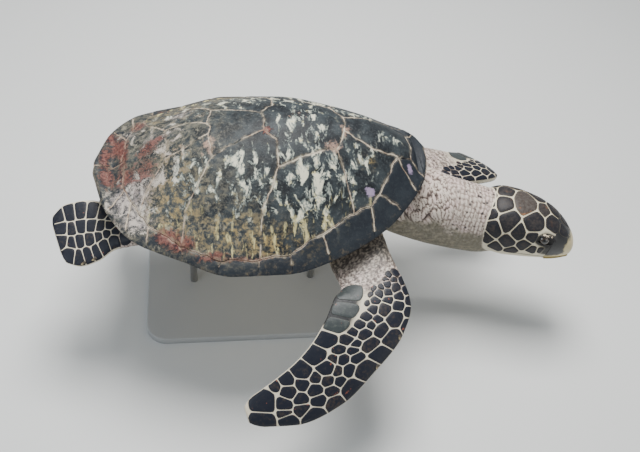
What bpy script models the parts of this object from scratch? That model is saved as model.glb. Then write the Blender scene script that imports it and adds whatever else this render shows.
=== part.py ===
"""Hawksbill sea turtle: a life-size still model on a plain two-rod display stand.

Metres, +Z up, +X towards the head, +Y to the animal's left. The origin lies on the floor at the
middle of the stand's base. The turtle is worked out in body coordinates, whose zero is the middle
of the carapace in the plane of its mid-side rim, and is then lifted by RIM_HEIGHT.
"""
import math

import bmesh
import bpy
import numpy as np
from mathutils import Matrix, Vector

# ---- Driving dimensions -------------------------------------------------------------------------
CARAPACE_LENGTH = 0.66        # straight length, nuchal to supracaudal
CARAPACE_WIDTH = 0.50
DOME_HEIGHT = 0.155           # crest above the mid-side rim
BODY_DEPTH = 0.106            # plastron below the mid-side rim
RIM_HEIGHT = 0.36             # mid-side rim above the floor
FRONT_RIM_RISE = 0.055        # the rim lifts over the neck
REAR_RIM_RISE = 0.036
RIM_EDGE = 0.008              # thickness of the margin at its edge
RIM_SLOPE = 0.012             # how far the margin's underside falls from the edge to the middle
GAP = 0.0003                  # clearance between neighbouring solids
SCUTE_THICKNESS = 0.0043      # horn plate over the bony core
SCUTE_RAW_DEPTH = 0.016       # a plate before the core is cut out of it
EYE_RADIUS = 0.0135

# Half-width of the carapace as a share of half of CARAPACE_WIDTH, front to rear
WIDTH_AT = [0, 0.02, 0.06, 0.15, 0.30, 0.45, 0.60, 0.75, 0.88, 0.96, 1]
WIDTH_SHARE = [0.10, 0.26, 0.41, 0.635, 0.865, 0.995, 1.0, 0.85, 0.69, 0.42, 0.08]

HORN = ((0.035, 0.040, 0.045), 0.45)
HORN_MOTTLED = ((0.16, 0.15, 0.11), 0.55)
SKIN_PALE = ((0.62, 0.53, 0.46), 0.6)
SKIN_DARK = ((0.02, 0.024, 0.035), 0.45)
PLASTRON_HORN = ((0.70, 0.58, 0.30), 0.45)
BEAK_HORN = ((0.50, 0.42, 0.20), 0.35)
EYE_DARK = ((0.01, 0.01, 0.012), 0.1)
STAND_PAINT = ((0.42, 0.425, 0.42), 0.5)
ROD_STEEL = ((0.62, 0.62, 0.60), 0.25)


# ---- Curves, meshes and materials ---------------------------------------------------------------
def smooth(xs, ys, x):
    """A monotone cubic through (xs, ys), read at x: harmonic-mean slopes, Hermite pieces."""
    xs, ys = np.asarray(xs, float), np.asarray(ys, float)
    x = np.clip(x, xs[0], xs[-1])
    h = np.diff(xs)
    d = np.diff(ys) / h
    slope = np.concatenate([[d[0]], np.zeros(len(d) - 1), [d[-1]]])
    same = d[1:] * d[:-1] > 0
    both = np.where(same, d[1:] + d[:-1], 1)
    slope[1:-1] = np.where(same, 2 * d[1:] * d[:-1] / both, 0)
    i = np.clip(np.searchsorted(xs, x, side="right") - 1, 0, len(h) - 1)
    u = (x - xs[i]) / h[i]
    rise = ys[i] * (1 + 2 * u) * (1 - u) ** 2 + ys[i + 1] * u * u * (3 - 2 * u)
    return rise + h[i] * (slope[i] * u * (1 - u) ** 2 - slope[i + 1] * u * u * (1 - u))


def ramp(x, start, end):
    """0 before start, 1 after end, eased between."""
    u = np.clip((x - start) / (end - start), 0, 1)
    return u * u * (3 - 2 * u)


def paint(name, finish, metallic=0.0):
    material = bpy.data.materials.new(name)
    material.use_nodes = True
    shader = material.node_tree.nodes["Principled BSDF"]
    colour, roughness = finish
    shader.inputs["Base Color"].default_value = (*colour, 1)
    shader.inputs["Roughness"].default_value = roughness
    shader.inputs["Metallic"].default_value = metallic
    material.diffuse_color = (*colour, 1)
    return material


def solid(name, points, faces, finish, metallic=0.0):
    """One closed mesh object, its faces turned outwards and parted into triangles.

    Bent quads would be parted one way in a piece and another in the cutter grown from it.
    """
    mesh = bpy.data.meshes.new(name)
    mesh.from_pydata([tuple(p) for p in points], [], faces)
    form = bmesh.new()
    form.from_mesh(mesh)
    bmesh.ops.remove_doubles(form, verts=form.verts, dist=1e-6)
    bmesh.ops.triangulate(form, faces=form.faces, quad_method="SHORT_EDGE")
    bmesh.ops.recalc_face_normals(form, faces=form.faces)
    form.to_mesh(mesh)
    form.free()
    mesh.shade_smooth()
    mesh.set_sharp_from_angle(angle=math.radians(40))
    piece = bpy.data.objects.new(name, mesh)
    bpy.context.scene.collection.objects.link(piece)
    mesh.materials.append(paint(name, finish, metallic))
    return piece


def loft(name, rings, finish, metallic=0.0):
    """A skin over closed rings (m, n, 3), with a fan over each end."""
    rings = np.asarray(rings)
    m, n = rings.shape[:2]
    points = np.concatenate([rings.reshape(-1, 3), [rings[0].mean(0)], [rings[-1].mean(0)]])
    faces = []
    for i in range(m - 1):
        for j in range(n):
            k = (j + 1) % n
            faces.append((i * n + j, i * n + k, (i + 1) * n + k, (i + 1) * n + j))
    for j in range(n):
        k = (j + 1) % n
        faces.append((m * n, j, k))
        faces.append((m * n + 1, (m - 1) * n + k, (m - 1) * n + j))
    return solid(name, points, faces, finish, metallic)


def as_cutter(piece):
    piece.hide_render = True
    piece.display_type = "WIRE"
    return piece


def grown(piece, by):
    """A cutter: the piece's mesh with every point moved out along its normal."""
    mesh = piece.data.copy()
    form = bmesh.new()
    form.from_mesh(mesh)
    form.normal_update()
    moves = [(v, v.normal * by * v.calc_shell_factor()) for v in form.verts]
    for vert, move in moves:
        vert.co += move
    form.to_mesh(mesh)
    form.free()
    cutter = bpy.data.objects.new(piece.name + "_clearance", mesh)
    bpy.context.scene.collection.objects.link(cutter)
    return as_cutter(cutter)


def combine(piece, cutter, operation="DIFFERENCE"):
    modifier = piece.modifiers.new(operation.lower(), "BOOLEAN")
    modifier.operation = operation
    modifier.solver = "EXACT"
    modifier.object = cutter


# ---- Shell surface ------------------------------------------------------------------------------
def half_width(s):
    return smooth(WIDTH_AT, WIDTH_SHARE, s) * CARAPACE_WIDTH / 2


def rim_height(s):
    stations = [0, 0.15, 0.35, 0.6, 0.85, 1]
    rises = [FRONT_RIM_RISE, 0.22 * FRONT_RIM_RISE, 0, 0, 0.4 * REAR_RIM_RISE, REAR_RIM_RISE]
    return smooth(stations, rises, s)


def crest_height(s):
    stations = [0, 0.05, 0.2, 0.42, 0.65, 0.85, 1]
    shares = [0, 0.46, 0.80, 1, 0.87, 0.47, 0]
    ends = ramp(s, 0.2, 0) * (FRONT_RIM_RISE + 0.004) + ramp(s, 0.85, 1) * (REAR_RIM_RISE + 0.004)
    return np.maximum(smooth(stations, shares, s) * DOME_HEIGHT, ends)


def station(x):
    """Place along the carapace, 0 at the nuchal edge and 1 at the tail edge."""
    return np.clip((CARAPACE_LENGTH / 2 - x) / CARAPACE_LENGTH, 0, 1)


def shell_top(x, y):
    """Upper surface: rim + (crest - rim)(1 - t^1.8)^1.3, with t the share of the half-width."""
    s = station(x)
    t = np.clip(np.abs(y) / half_width(s), 0, 1)
    rim = rim_height(s)
    return rim + np.maximum(crest_height(s) - rim, 0.002) * (1 - t ** 1.8) ** 1.3


def rim_underside(x, y):
    s = station(x)
    t = np.clip(np.abs(y) / half_width(s), 0, 1)
    return rim_height(s) - RIM_EDGE - RIM_SLOPE * (1 - t)


def body_underside(x, y):
    """Underside: the flat under the rim, then the flank, then the broad plastron."""
    s = station(x)
    t = np.clip(np.abs(y) / half_width(s), 0, 1)
    depths = [0, 0.34, 0.82, 1, 1.02, 1, 0.82, 0.5, 0.12, 0]
    depth = smooth([0, 0.05, 0.12, 0.2, 0.4, 0.55, 0.75, 0.86, 0.95, 1], depths, s) * BODY_DEPTH
    drop = depth * (0.95 + 0.05 * (1 - t * t)) - RIM_EDGE - RIM_SLOPE * (1 - t)
    return rim_underside(x, y) - np.maximum(drop, 0) * ramp(t, 0.92, 0.62)


# ---- Trunk: the core that the horn plates lie on -------------------------------------------------
PLASTRON_AT = [0.115, 0.13, 0.20, 0.32, 0.48, 0.62, 0.74, 0.83, 0.865]
PLASTRON_SHARE = [0.02, 0.30, 0.52, 0.80, 0.83, 0.80, 0.52, 0.30, 0.05]
PLASTRON_ROWS = 11
PLASTRON_ACROSS = [0.45, 0.7, 0.8, 0.9, 1]    # closest on the steep bridge
CORE_FRONT = 0.025
CORE_REAR = 0.975
CORE_SIDE = 0.93
CORE_STATIONS = 14
CORE_TOP = [0.09, 0.27, 0.46, 0.64, 0.80, 0.92]
CORE_BOTTOM = [1, 0.92, 0.82, 0.73, 0.63, 0.30]
CORE_RIM_FROM = 0.81          # share of the core's half-width from which it lies under the margin
CORE_THINNEST = 0.001         # least thickness of the core at its edge
CORE_MARGIN_S = 0.03          # how far the core's bed reaches beyond the plastron, along and across
CORE_MARGIN_T = 0.12
SKIN_LIFT = 0.0012            # the bare underside, above the body's lower surface


def in_plastron(s, t):
    """True under the plastron and a little beyond its edge, where the core lies deeper."""
    inside = (s > PLASTRON_AT[0] - CORE_MARGIN_S) & (s < PLASTRON_AT[-1] + CORE_MARGIN_S)
    return inside & (t < smooth(PLASTRON_AT, PLASTRON_SHARE, s) + CORE_MARGIN_T)


def trunk_rings():
    """Rings across the body: top points out to the side, then underside points back again."""
    even = np.linspace(0, 1, CORE_STATIONS)
    closer_at_ends = (1 - np.cos(math.pi * even)) / 2
    rings = []
    for s in CORE_FRONT + (CORE_REAR - CORE_FRONT) * (0.45 * closer_at_ends + 0.55 * even):
        x = CARAPACE_LENGTH * (0.5 - s)
        side = half_width(s) * CORE_SIDE
        top, bottom = np.array(CORE_TOP) * side, np.array(CORE_BOTTOM) * side
        top_z = shell_top(x, top) - SCUTE_THICKNESS
        plated = in_plastron(s, np.array(CORE_BOTTOM) * CORE_SIDE)
        under_rim = np.array(CORE_BOTTOM) > CORE_RIM_FROM
        lift = np.where(plated | under_rim, SCUTE_THICKNESS, SKIN_LIFT)
        bottom_z = body_underside(x, bottom) + lift
        bottom_z = np.minimum(bottom_z, shell_top(x, bottom) - SCUTE_THICKNESS - CORE_THINNEST)
        half = [(x, y, z) for y, z in zip(np.r_[top, bottom], np.r_[top_z, bottom_z])]
        rings.append(half + [(px, -py, pz) for px, py, pz in half[::-1]])
    return rings


def make_trunk():
    return grown(loft("trunk", trunk_rings(), SKIN_PALE), GAP)


# ---- Horn plates of the carapace ----------------------------------------------------------------
# Corners of the plates on one side: share of the length, share of the half-width.
CORNERS = {
    "nuchal_mid": (0.052, 0), "nuchal_v1": (0.058, 0.30), "v1_front": (0.108, 0.32),
    "v1_waist": (0.18, 0.25), "v1_v2": (0.262, 0), "v1_v2_c1": (0.267, 0.09),
    "v2_c1_c2": (0.296, 0.265), "v2_c2": (0.36, 0.30), "v2_c2_c3": (0.467, 0.385),
    "v2_c3": (0.47, 0.195), "v2_v3_c3": (0.505, 0.10), "v2_v3": (0.498, 0),
    "v3_c3": (0.584, 0.18), "v3_c3_c4": (0.649, 0.265), "v3_v4_c4": (0.662, 0.06),
    "v3_v4": (0.657, 0), "v4_c4": (0.73, 0.16), "v4_v5_c4": (0.785, 0.20), "v4_v5": (0.778, 0),
    "v5_c4": (0.83, 0.43), "c3_c4": (0.729, 0.655), "c2_c3": (0.515, 0.64),
}
# Partings of the margin, nuchal to supracaudal: (s, t) at the inner line, then s at the edge.
MARGIN = [(0.058, 0.30, 0.020), (0.108, 0.32, 0.045), (0.170, 0.66, 0.094), (0.198, 0.73, 0.188),
          (0.347, 0.81, 0.321), (0.443, 0.89, 0.435), (0.530, 0.91, 0.533), (0.634, 0.91, 0.645),
          (0.743, 0.90, 0.740), (0.835, 0.80, 0.835), (0.885, 0.58, 0.900), (0.905, 0.44, 0.955),
          (0.915, 0.0, 1.0)]
# Corners of the costals that lie on the inner line within one plate of the margin.
MARGIN_BENDS = {4: (0.250, 0.752), 10: (0.862, 0.70)}
# The longest facet edge wanted along a plate's outline.
VERTEBRAL_FACET = 0.038
COSTAL_FACET = 0.040
MARGINAL_FACET = 0.042
NUCHAL_FACET = 0.030
COSTAL_RINGS = (1, 0.62, 0.3)  # shares of the outline at which a costal has a ring of points


def place(s, t):
    return np.array([CARAPACE_LENGTH * (0.5 - s), t * float(half_width(s))])


def line_of(names, side):
    """The outline's corners in the top view, by name or as (s, t)."""
    points = [CORNERS[n] if isinstance(n, str) else n[:2] for n in names]
    return [place(s, side * t) for s, t in points]


def divided(corners, step):
    """A closed outline with points added so that none lie further apart than step."""
    out = []
    for a, b in zip(corners, corners[1:] + corners[:1]):
        count = max(1, round(float(np.linalg.norm(b - a)) / step))
        out += [a + (b - a) * i / count for i in range(count)]
    return out


def inset(outline, by):
    """The outline moved inwards by a fixed distance, corner by corner."""
    p = np.array(outline)
    area = 0.5 * np.sum(p[:, 0] * np.roll(p[:, 1], -1) - np.roll(p[:, 0], -1) * p[:, 1])
    edge = np.roll(p, -1, 0) - p
    edge /= np.linalg.norm(edge, axis=1)[:, None]
    normal = np.stack([-edge[:, 1], edge[:, 0]], 1) * np.sign(area)
    both = normal + np.roll(normal, 1, 0)
    both /= np.maximum(np.sum(both * both, 1), 0.6)[:, None] / 2
    return p + both * by


def plate(name, outline, top, bottom, finish, shares=(1, 0.5)):
    """A solid between two height fields over an outline, in rings about its middle."""
    edge = inset(outline, GAP / 2)
    middle = edge.mean(0)
    n = len(edge)
    rings = [middle + (edge - middle) * share for share in shares]
    flat = np.concatenate(rings + [middle[None]])
    upper = np.column_stack([flat, top(flat[:, 0], flat[:, 1])])
    lower = np.column_stack([flat, bottom(flat[:, 0], flat[:, 1])])
    half = len(flat)
    faces = []
    for j in range(n):
        k = (j + 1) % n
        faces.append((j, k, half + k, half + j))
        for shift in (0, half):
            for r in range(len(shares) - 1):
                a, b = shift + r * n, shift + (r + 1) * n
                faces.append((a + j, a + k, b + k, b + j))
            faces.append((shift + (len(shares) - 1) * n + j, shift + (len(shares) - 1) * n + k,
                          shift + half - 1))
    return solid(name, np.concatenate([upper, lower]), faces, finish)


def under_plate(x, y):
    return shell_top(x, y) - SCUTE_RAW_DEPTH


def vertebral_outlines():
    halves = [["nuchal_mid", "nuchal_v1", "v1_front", "v1_waist", "v1_v2_c1", "v1_v2"],
              ["v1_v2", "v1_v2_c1", "v2_c1_c2", "v2_c2", "v2_c2_c3", "v2_c3", "v2_v3_c3", "v2_v3"],
              ["v2_v3", "v2_v3_c3", "v3_c3", "v3_c3_c4", "v3_v4_c4", "v3_v4"],
              ["v3_v4", "v3_v4_c4", "v4_c4", "v4_v5_c4", "v4_v5"],
              ["v4_v5", "v4_v5_c4", "v5_c4", MARGIN_BENDS[10]] + MARGIN[10:]]
    return [line_of(half, -1) + line_of(half[-2:0:-1], 1) for half in halves]


def costal_outlines(side):
    m = MARGIN
    outlines = [["v1_front", m[2], m[3], MARGIN_BENDS[4], "v2_c1_c2", "v1_v2_c1", "v1_waist"],
                ["v2_c1_c2", MARGIN_BENDS[4], m[4], m[5], m[6], "c2_c3", "v2_c2_c3", "v2_c2"],
                ["v2_v3_c3", "v2_c3", "v2_c2_c3", "c2_c3", m[6], m[7], m[8], "c3_c4", "v3_c3_c4", "v3_c3"],
                ["v3_v4_c4", "v3_c3_c4", "c3_c4", m[8], m[9], MARGIN_BENDS[10], "v5_c4", "v4_v5_c4",
                 "v4_c4"]]
    return [line_of(names, side) for names in outlines]


def margin_outline(i, side):
    """Plate i of the margin, from the parting before it to its own; 12 is the supracaudal."""
    before, after = MARGIN[i - 1], MARGIN[i]
    bend = [(s, 1) for s in np.linspace(before[2], after[2], 4)]
    tail = [(1, 0)] if i == len(MARGIN) - 1 else []
    inner = [after] + ([MARGIN_BENDS[i]] if i in MARGIN_BENDS else []) + [before]
    return line_of(bend + tail + inner, side)


def make_scutes(core_cutter):
    made = []
    for i, outline in enumerate(vertebral_outlines(), 1):
        made.append(plate(f"vertebral_{i}", divided(outline, VERTEBRAL_FACET), shell_top, under_plate,
                          HORN_MOTTLED))
    for side, word in ((1, "left"), (-1, "right")):
        for i, outline in enumerate(costal_outlines(side), 1):
            made.append(plate(f"costal_{word}_{i}", divided(outline, COSTAL_FACET), shell_top, under_plate,
                              HORN_MOTTLED, COSTAL_RINGS))
        for i in range(1, len(MARGIN)):
            name = f"marginal_{word}_{i}" if i < len(MARGIN) - 1 else f"supracaudal_{word}"
            made.append(plate(name, divided(margin_outline(i, side), MARGINAL_FACET), shell_top,
                              rim_underside, HORN, (1,)))
    front = [(s, 1) for s in np.linspace(MARGIN[0][2], 0, 3)]
    nuchal = line_of([MARGIN[0]] + front, 1) + line_of(front[::-1] + [MARGIN[0]], -1)
    nuchal += line_of(["nuchal_mid"], 1)
    made.append(plate("nuchal", divided(nuchal, NUCHAL_FACET), shell_top, rim_underside, HORN, (1,)))
    for piece in made:
        combine(piece, core_cutter)
    return made


def make_plastron(core_cutter):
    """A plate over the underside: rows of points across the body, front to rear."""
    across = np.r_[-np.array(PLASTRON_ACROSS)[::-1], 0, PLASTRON_ACROSS]
    stations = np.linspace(PLASTRON_AT[0], PLASTRON_AT[-1], PLASTRON_ROWS)
    x = np.repeat(CARAPACE_LENGTH * (0.5 - stations), len(across))
    y = np.outer(smooth(PLASTRON_AT, PLASTRON_SHARE, stations) * half_width(stations), across).ravel()
    z = body_underside(x, y)
    points = np.concatenate([np.column_stack([x, y, z]), np.column_stack([x, y, z + SCUTE_RAW_DEPTH])])
    n, half = len(across), len(x)
    faces = []
    for i in range(len(stations) - 1):
        for j in range(n - 1):
            cell = (i * n + j, i * n + j + 1, (i + 1) * n + j + 1, (i + 1) * n + j)
            faces += [cell, tuple(half + k for k in reversed(cell))]
    rim = ([(0, j) for j in range(n)] + [(i, n - 1) for i in range(1, len(stations))]
           + [(len(stations) - 1, j) for j in range(n - 2, -1, -1)]
           + [(i, 0) for i in range(len(stations) - 2, 0, -1)])
    rim = [i * n + j for i, j in rim]
    faces += [(a, half + a, half + b, b) for a, b in zip(rim, rim[1:] + rim[:1])]
    plastron = solid("plastron", points, faces, PLASTRON_HORN)
    clearance = grown(plastron, GAP)
    combine(plastron, core_cutter)
    return clearance


# ---- Neck, head, beak and eyes ------------------------------------------------------------------
NECK_PATH = [(0.235, 0.0, -0.045), (0.30, -0.012, -0.065), (0.380, -0.028, -0.091),
             (0.468, -0.046, -0.106), (0.545, -0.068, -0.112)]
NECK_HALF_WIDTH = [0.085, 0.081, 0.067, 0.062, 0.042]
NECK_HALF_HEIGHT = [0.055, 0.077, 0.086, 0.082, 0.046]
NECK_FACETS = (8, 14)         # rings along, points round
HEAD_BACK = Vector((0.467, -0.044, -0.074))
HEAD_TURN = math.radians(-19)
HEAD_PITCH = math.radians(8)
HEAD_LENGTH = 0.209
HEAD_AT = [0, 0.04, 0.15, 0.30, 0.45, 0.60, 0.72, 0.83, 0.92, 0.975, 1]
HEAD_TOP = [0.036, 0.047, 0.057, 0.060, 0.058, 0.051, 0.040, 0.025, 0.009, -0.006, -0.020]
HEAD_BOTTOM = [-0.060, -0.074, -0.083, -0.082, -0.075, -0.066, -0.058, -0.051, -0.045, -0.039, -0.032]
HEAD_HALF_WIDTH = [0.044, 0.058, 0.066, 0.067, 0.064, 0.059, 0.053, 0.043, 0.031, 0.020, 0.008]
HEAD_SQUARE = 2.3             # superellipse power of a head section
HEAD_SHARES = [0, 0.04, 0.13, 0.25, 0.37, 0.49, 0.60, 0.70, 0.79, 0.87, 0.94, 1]
HEAD_SIDES = 18
BOX_REACH = 0.3               # half-size of the boxes that part the beak from the head
MOUTH_LEVEL = -0.031
BEAK_FROM = 0.150
EYE_PLACE = (0.130, 0.0430, 0.0145)


def head_frame():
    turn = Matrix.Rotation(HEAD_TURN, 4, "Z") @ Matrix.Rotation(HEAD_PITCH, 4, "Y")
    return Matrix.Translation(HEAD_BACK) @ turn


def section(half_width_at, top, bottom, count, power):
    """A closed ring in (across, up): a superellipse with its own top and bottom halves."""
    a = np.linspace(0, 2 * math.pi, count, endpoint=False)
    across = np.sign(np.cos(a)) * np.abs(np.cos(a)) ** (2 / power) * half_width_at
    up = np.abs(np.sin(a)) ** (2 / power)
    middle = (top + bottom) / 2
    return across, middle + np.sign(np.sin(a)) * up * (top - bottom) / 2


def make_head_form(name, finish):
    frame = head_frame()
    rings = []
    for q in HEAD_SHARES:
        across, up = section(smooth(HEAD_AT, HEAD_HALF_WIDTH, q), smooth(HEAD_AT, HEAD_TOP, q),
                             smooth(HEAD_AT, HEAD_BOTTOM, q), HEAD_SIDES, HEAD_SQUARE)
        rings.append([frame @ Vector((q * HEAD_LENGTH, -y, z)) for y, z in zip(across, up)])
    return loft(name, rings, finish)


def box_cutter(name, low, high, frame):
    corners = [frame @ Vector((x, y, z)) for x in (low[0], high[0]) for y in (low[1], high[1])
               for z in (low[2], high[2])]
    faces = [(0, 1, 3, 2), (4, 6, 7, 5), (0, 4, 5, 1), (2, 3, 7, 6), (0, 2, 6, 4), (1, 5, 7, 3)]
    return as_cutter(solid(name, corners, faces, BEAK_HORN))


def make_head(neck_cutter):
    frame = head_frame()
    reach = BOX_REACH
    head = make_head_form("head", SKIN_DARK)
    upper = make_head_form("beak_upper", BEAK_HORN)
    lower = make_head_form("beak_lower", BEAK_HORN)
    combine(upper, box_cutter("upper_keep", (BEAK_FROM, -reach, MOUTH_LEVEL), (reach, reach, reach), frame),
            "INTERSECT")
    combine(lower, box_cutter("lower_keep", (BEAK_FROM, -reach, -reach),
                              (reach, reach, MOUTH_LEVEL - GAP), frame), "INTERSECT")
    combine(head, box_cutter("beak_room", (BEAK_FROM - GAP, -reach, -reach), (reach, reach, reach), frame))
    combine(head, neck_cutter)
    for side, word in ((1, "left"), (-1, "right")):
        x, y, z = EYE_PLACE
        middle = frame @ Vector((x, side * y, z))
        combine(head, as_cutter(ball(f"eye_socket_{word}", middle, EYE_RADIUS + GAP)))
        ball(f"eye_{word}", middle, EYE_RADIUS)
    return head


def ball(name, middle, radius):
    form = bmesh.new()
    bmesh.ops.create_uvsphere(form, u_segments=10, v_segments=6, radius=radius)
    points = [v.co + middle for v in form.verts]
    faces = [[v.index for v in f.verts] for f in form.faces]
    form.free()
    return solid(name, points, faces, EYE_DARK)


def read_path(points, u):
    """A smooth path through evenly spaced points, read at the shares u of its course."""
    knots = np.linspace(0, 1, len(points))
    points = np.array(points, float)
    return np.stack([smooth(knots, points[:, k], u) for k in range(3)], -1)


def unit(vectors):
    return vectors / np.linalg.norm(vectors, axis=1)[:, None]


def sweep(name, path, half_widths, half_heights, up, finish, facets):
    """Oval sections along a smooth path; up gives the way that their height points."""
    rings, sides = facets
    knots = np.linspace(0, 1, len(path))
    u = np.linspace(0, 1, rings)
    centre = read_path(path, u)
    tangent = unit(np.gradient(centre, axis=0))
    up = np.array(up, float)
    high = unit(up - tangent * (tangent @ up)[:, None])
    wide = np.cross(high, tangent)
    a = np.linspace(0, 2 * math.pi, sides, endpoint=False)
    w, h = smooth(knots, half_widths, u), smooth(knots, half_heights, u)
    ring = (centre[:, None] + wide[:, None] * (w[:, None] * np.cos(a))[..., None]
            + high[:, None] * (h[:, None] * np.sin(a))[..., None])
    return loft(name, ring, finish)


def make_neck(cutters):
    neck = sweep("neck", NECK_PATH, NECK_HALF_WIDTH, NECK_HALF_HEIGHT, (0, 0, 1), SKIN_PALE,
                 NECK_FACETS)
    clearance = grown(neck, GAP)
    for cutter in cutters:
        combine(neck, cutter)
    return clearance


# ---- Flippers and tail --------------------------------------------------------------------------
# Each row: the leading edge, the trailing edge, half of the thickness.
FRONT_RIGHT = [((0.233, -0.099, -0.048), (0.111, -0.121, -0.052), 0.034),
               ((0.246, -0.171, -0.059), (0.126, -0.195, -0.069), 0.030),
               ((0.261, -0.227, -0.066), (0.138, -0.237, -0.072), 0.024),
               ((0.271, -0.275, -0.082), (0.122, -0.264, -0.066), 0.019),
               ((0.248, -0.331, -0.103), (0.102, -0.303, -0.077), 0.016),
               ((0.190, -0.385, -0.139), (0.076, -0.336, -0.100), 0.014),
               ((0.128, -0.426, -0.178), (0.046, -0.361, -0.121), 0.012),
               ((0.043, -0.450, -0.202), (0.004, -0.385, -0.144), 0.009),
               ((-0.046, -0.447, -0.207), (-0.058, -0.412, -0.176), 0.006)]
FRONT_LEFT = [((0.200, 0.064, -0.049), (0.145, 0.150, -0.041), 0.034),
              ((0.250, 0.076, -0.070), (0.240, 0.178, -0.056), 0.030),
              ((0.341, 0.072, -0.087), (0.345, 0.163, -0.080), 0.024),
              ((0.448, 0.056, -0.099), (0.434, 0.162, -0.103), 0.019),
              ((0.553, 0.104, -0.136), (0.476, 0.178, -0.126), 0.015),
              ((0.556, 0.176, -0.188), (0.436, 0.200, -0.166), 0.012),
              ((0.490, 0.246, -0.248), (0.396, 0.218, -0.212), 0.009),
              ((0.402, 0.275, -0.281), (0.366, 0.249, -0.259), 0.006)]
HIND_RIGHT = [((-0.182, -0.121, -0.042), (-0.198, -0.049, -0.028), 0.028),
              ((-0.242, -0.132, -0.050), (-0.248, -0.056, -0.026), 0.024),
              ((-0.288, -0.136, -0.059), (-0.292, -0.052, -0.021), 0.016),
              ((-0.320, -0.152, -0.072), (-0.340, -0.042, -0.016), 0.010),
              ((-0.354, -0.159, -0.079), (-0.386, -0.047, -0.021), 0.008),
              ((-0.388, -0.150, -0.075), (-0.416, -0.072, -0.035), 0.006)]
HIND_LEFT = [((-0.175, 0.119, -0.042), (-0.205, 0.051, -0.028), 0.028),
             ((-0.215, 0.140, -0.057), (-0.257, 0.068, -0.043), 0.024),
             ((-0.240, 0.162, -0.072), (-0.292, 0.082, -0.080), 0.016),
             ((-0.257, 0.189, -0.093), (-0.311, 0.091, -0.123), 0.010),
             ((-0.273, 0.206, -0.124), (-0.319, 0.110, -0.160), 0.008),
             ((-0.287, 0.204, -0.158), (-0.319, 0.140, -0.182), 0.006)]
TAIL_PATH = [(-0.235, 0.0, -0.030), (-0.275, 0.0, -0.040), (-0.305, 0.0, -0.052), (-0.330, 0.0, -0.068)]
TAIL_HALF_WIDTH = [0.030, 0.024, 0.015, 0.003]
TAIL_FACETS = (5, 8)
FRONT_RINGS = (5, 10)         # rings of the arm and of the blade
HIND_RINGS = (4, 7)
FLIPPER_SIDES = 12
FLIPPER_PARTING = 0.40        # share of a flipper's path that counts as its arm or thigh
TIP_FROM = 0.955              # share of the path from which the tip is rounded off
TIP_ROUND = 0.052
FULLER_FRONT = 0.28           # how much thicker the leading half is than the trailing half


def flipper_rings(rows, lead_sign, start, end, count):
    """Sections of a flipper: blunt along the leading edge, thin along the trailing edge.

    Both edges are smooth curves through the rows. With v from -1 to 1 across the chord, the
    thickness follows |sin a|^0.8 and is skewed towards the leading edge.
    """
    u = np.linspace(start, end, count)
    front, back = read_path([r[0] for r in rows], u), read_path([r[1] for r in rows], u)
    middles = (np.array([r[0] for r in rows]) + np.array([r[1] for r in rows])) / 2
    ahead = read_path(middles, np.clip(u + 0.02, 0, 1))
    tangent = unit(ahead - read_path(middles, np.clip(u - 0.02, 0, 1)))
    lead = unit(front - back)
    normal = unit(np.cross(tangent, lead)) * lead_sign
    chord = np.linalg.norm(front - back, axis=1) / 2
    thick = smooth(np.linspace(0, 1, len(rows)), [r[2] for r in rows], u)
    tip = np.sqrt(np.clip(1 - ((u - TIP_FROM) / TIP_ROUND).clip(0) ** 2, 0.02, 1))
    a = np.linspace(0, 2 * math.pi, FLIPPER_SIDES, endpoint=False)
    v = np.cos(a)
    body = np.sign(np.sin(a)) * np.abs(np.sin(a)) ** 0.8 * (1 - FULLER_FRONT + FULLER_FRONT * v)
    centre = (front + back) / 2
    return (centre[:, None] + lead[:, None] * ((chord * tip)[:, None] * v)[..., None]
            + normal[:, None] * ((thick * (0.4 + 0.6 * tip))[:, None] * body)[..., None])


def make_flipper(names, rows, lead_sign, cutters, counts):
    """The part in the skin of the body, then the blade, a hair's breadth beyond it."""
    path = (np.array([row[0] for row in rows]) + np.array([row[1] for row in rows])) / 2
    length = np.sum(np.linalg.norm(np.diff(path, axis=0), axis=1))
    blade_from = FLIPPER_PARTING + 2 * GAP / length
    root = loft(names[0], flipper_rings(rows, lead_sign, 0, FLIPPER_PARTING, counts[0]), SKIN_PALE)
    loft(names[1], flipper_rings(rows, lead_sign, blade_from, 1, counts[1]), SKIN_DARK)
    for cutter in cutters:
        combine(root, cutter)


def make_tail(cutters):
    tail = sweep("tail", TAIL_PATH, TAIL_HALF_WIDTH, [w * 0.9 for w in TAIL_HALF_WIDTH], (0, 0, 1),
                 SKIN_PALE, TAIL_FACETS)
    for cutter in cutters:
        combine(tail, cutter)


# ---- Display stand ------------------------------------------------------------------------------
BASE_SIZE = (0.50, 0.32, 0.018)
BASE_CORNER = 0.045
BASE_EASE = 0.003             # rounding of the base's upper edge
ROD_RADIUS = 0.008
ROD_SIDES = 14
ROD_PLACES = {"front": 0.125, "rear": -0.145}


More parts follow.
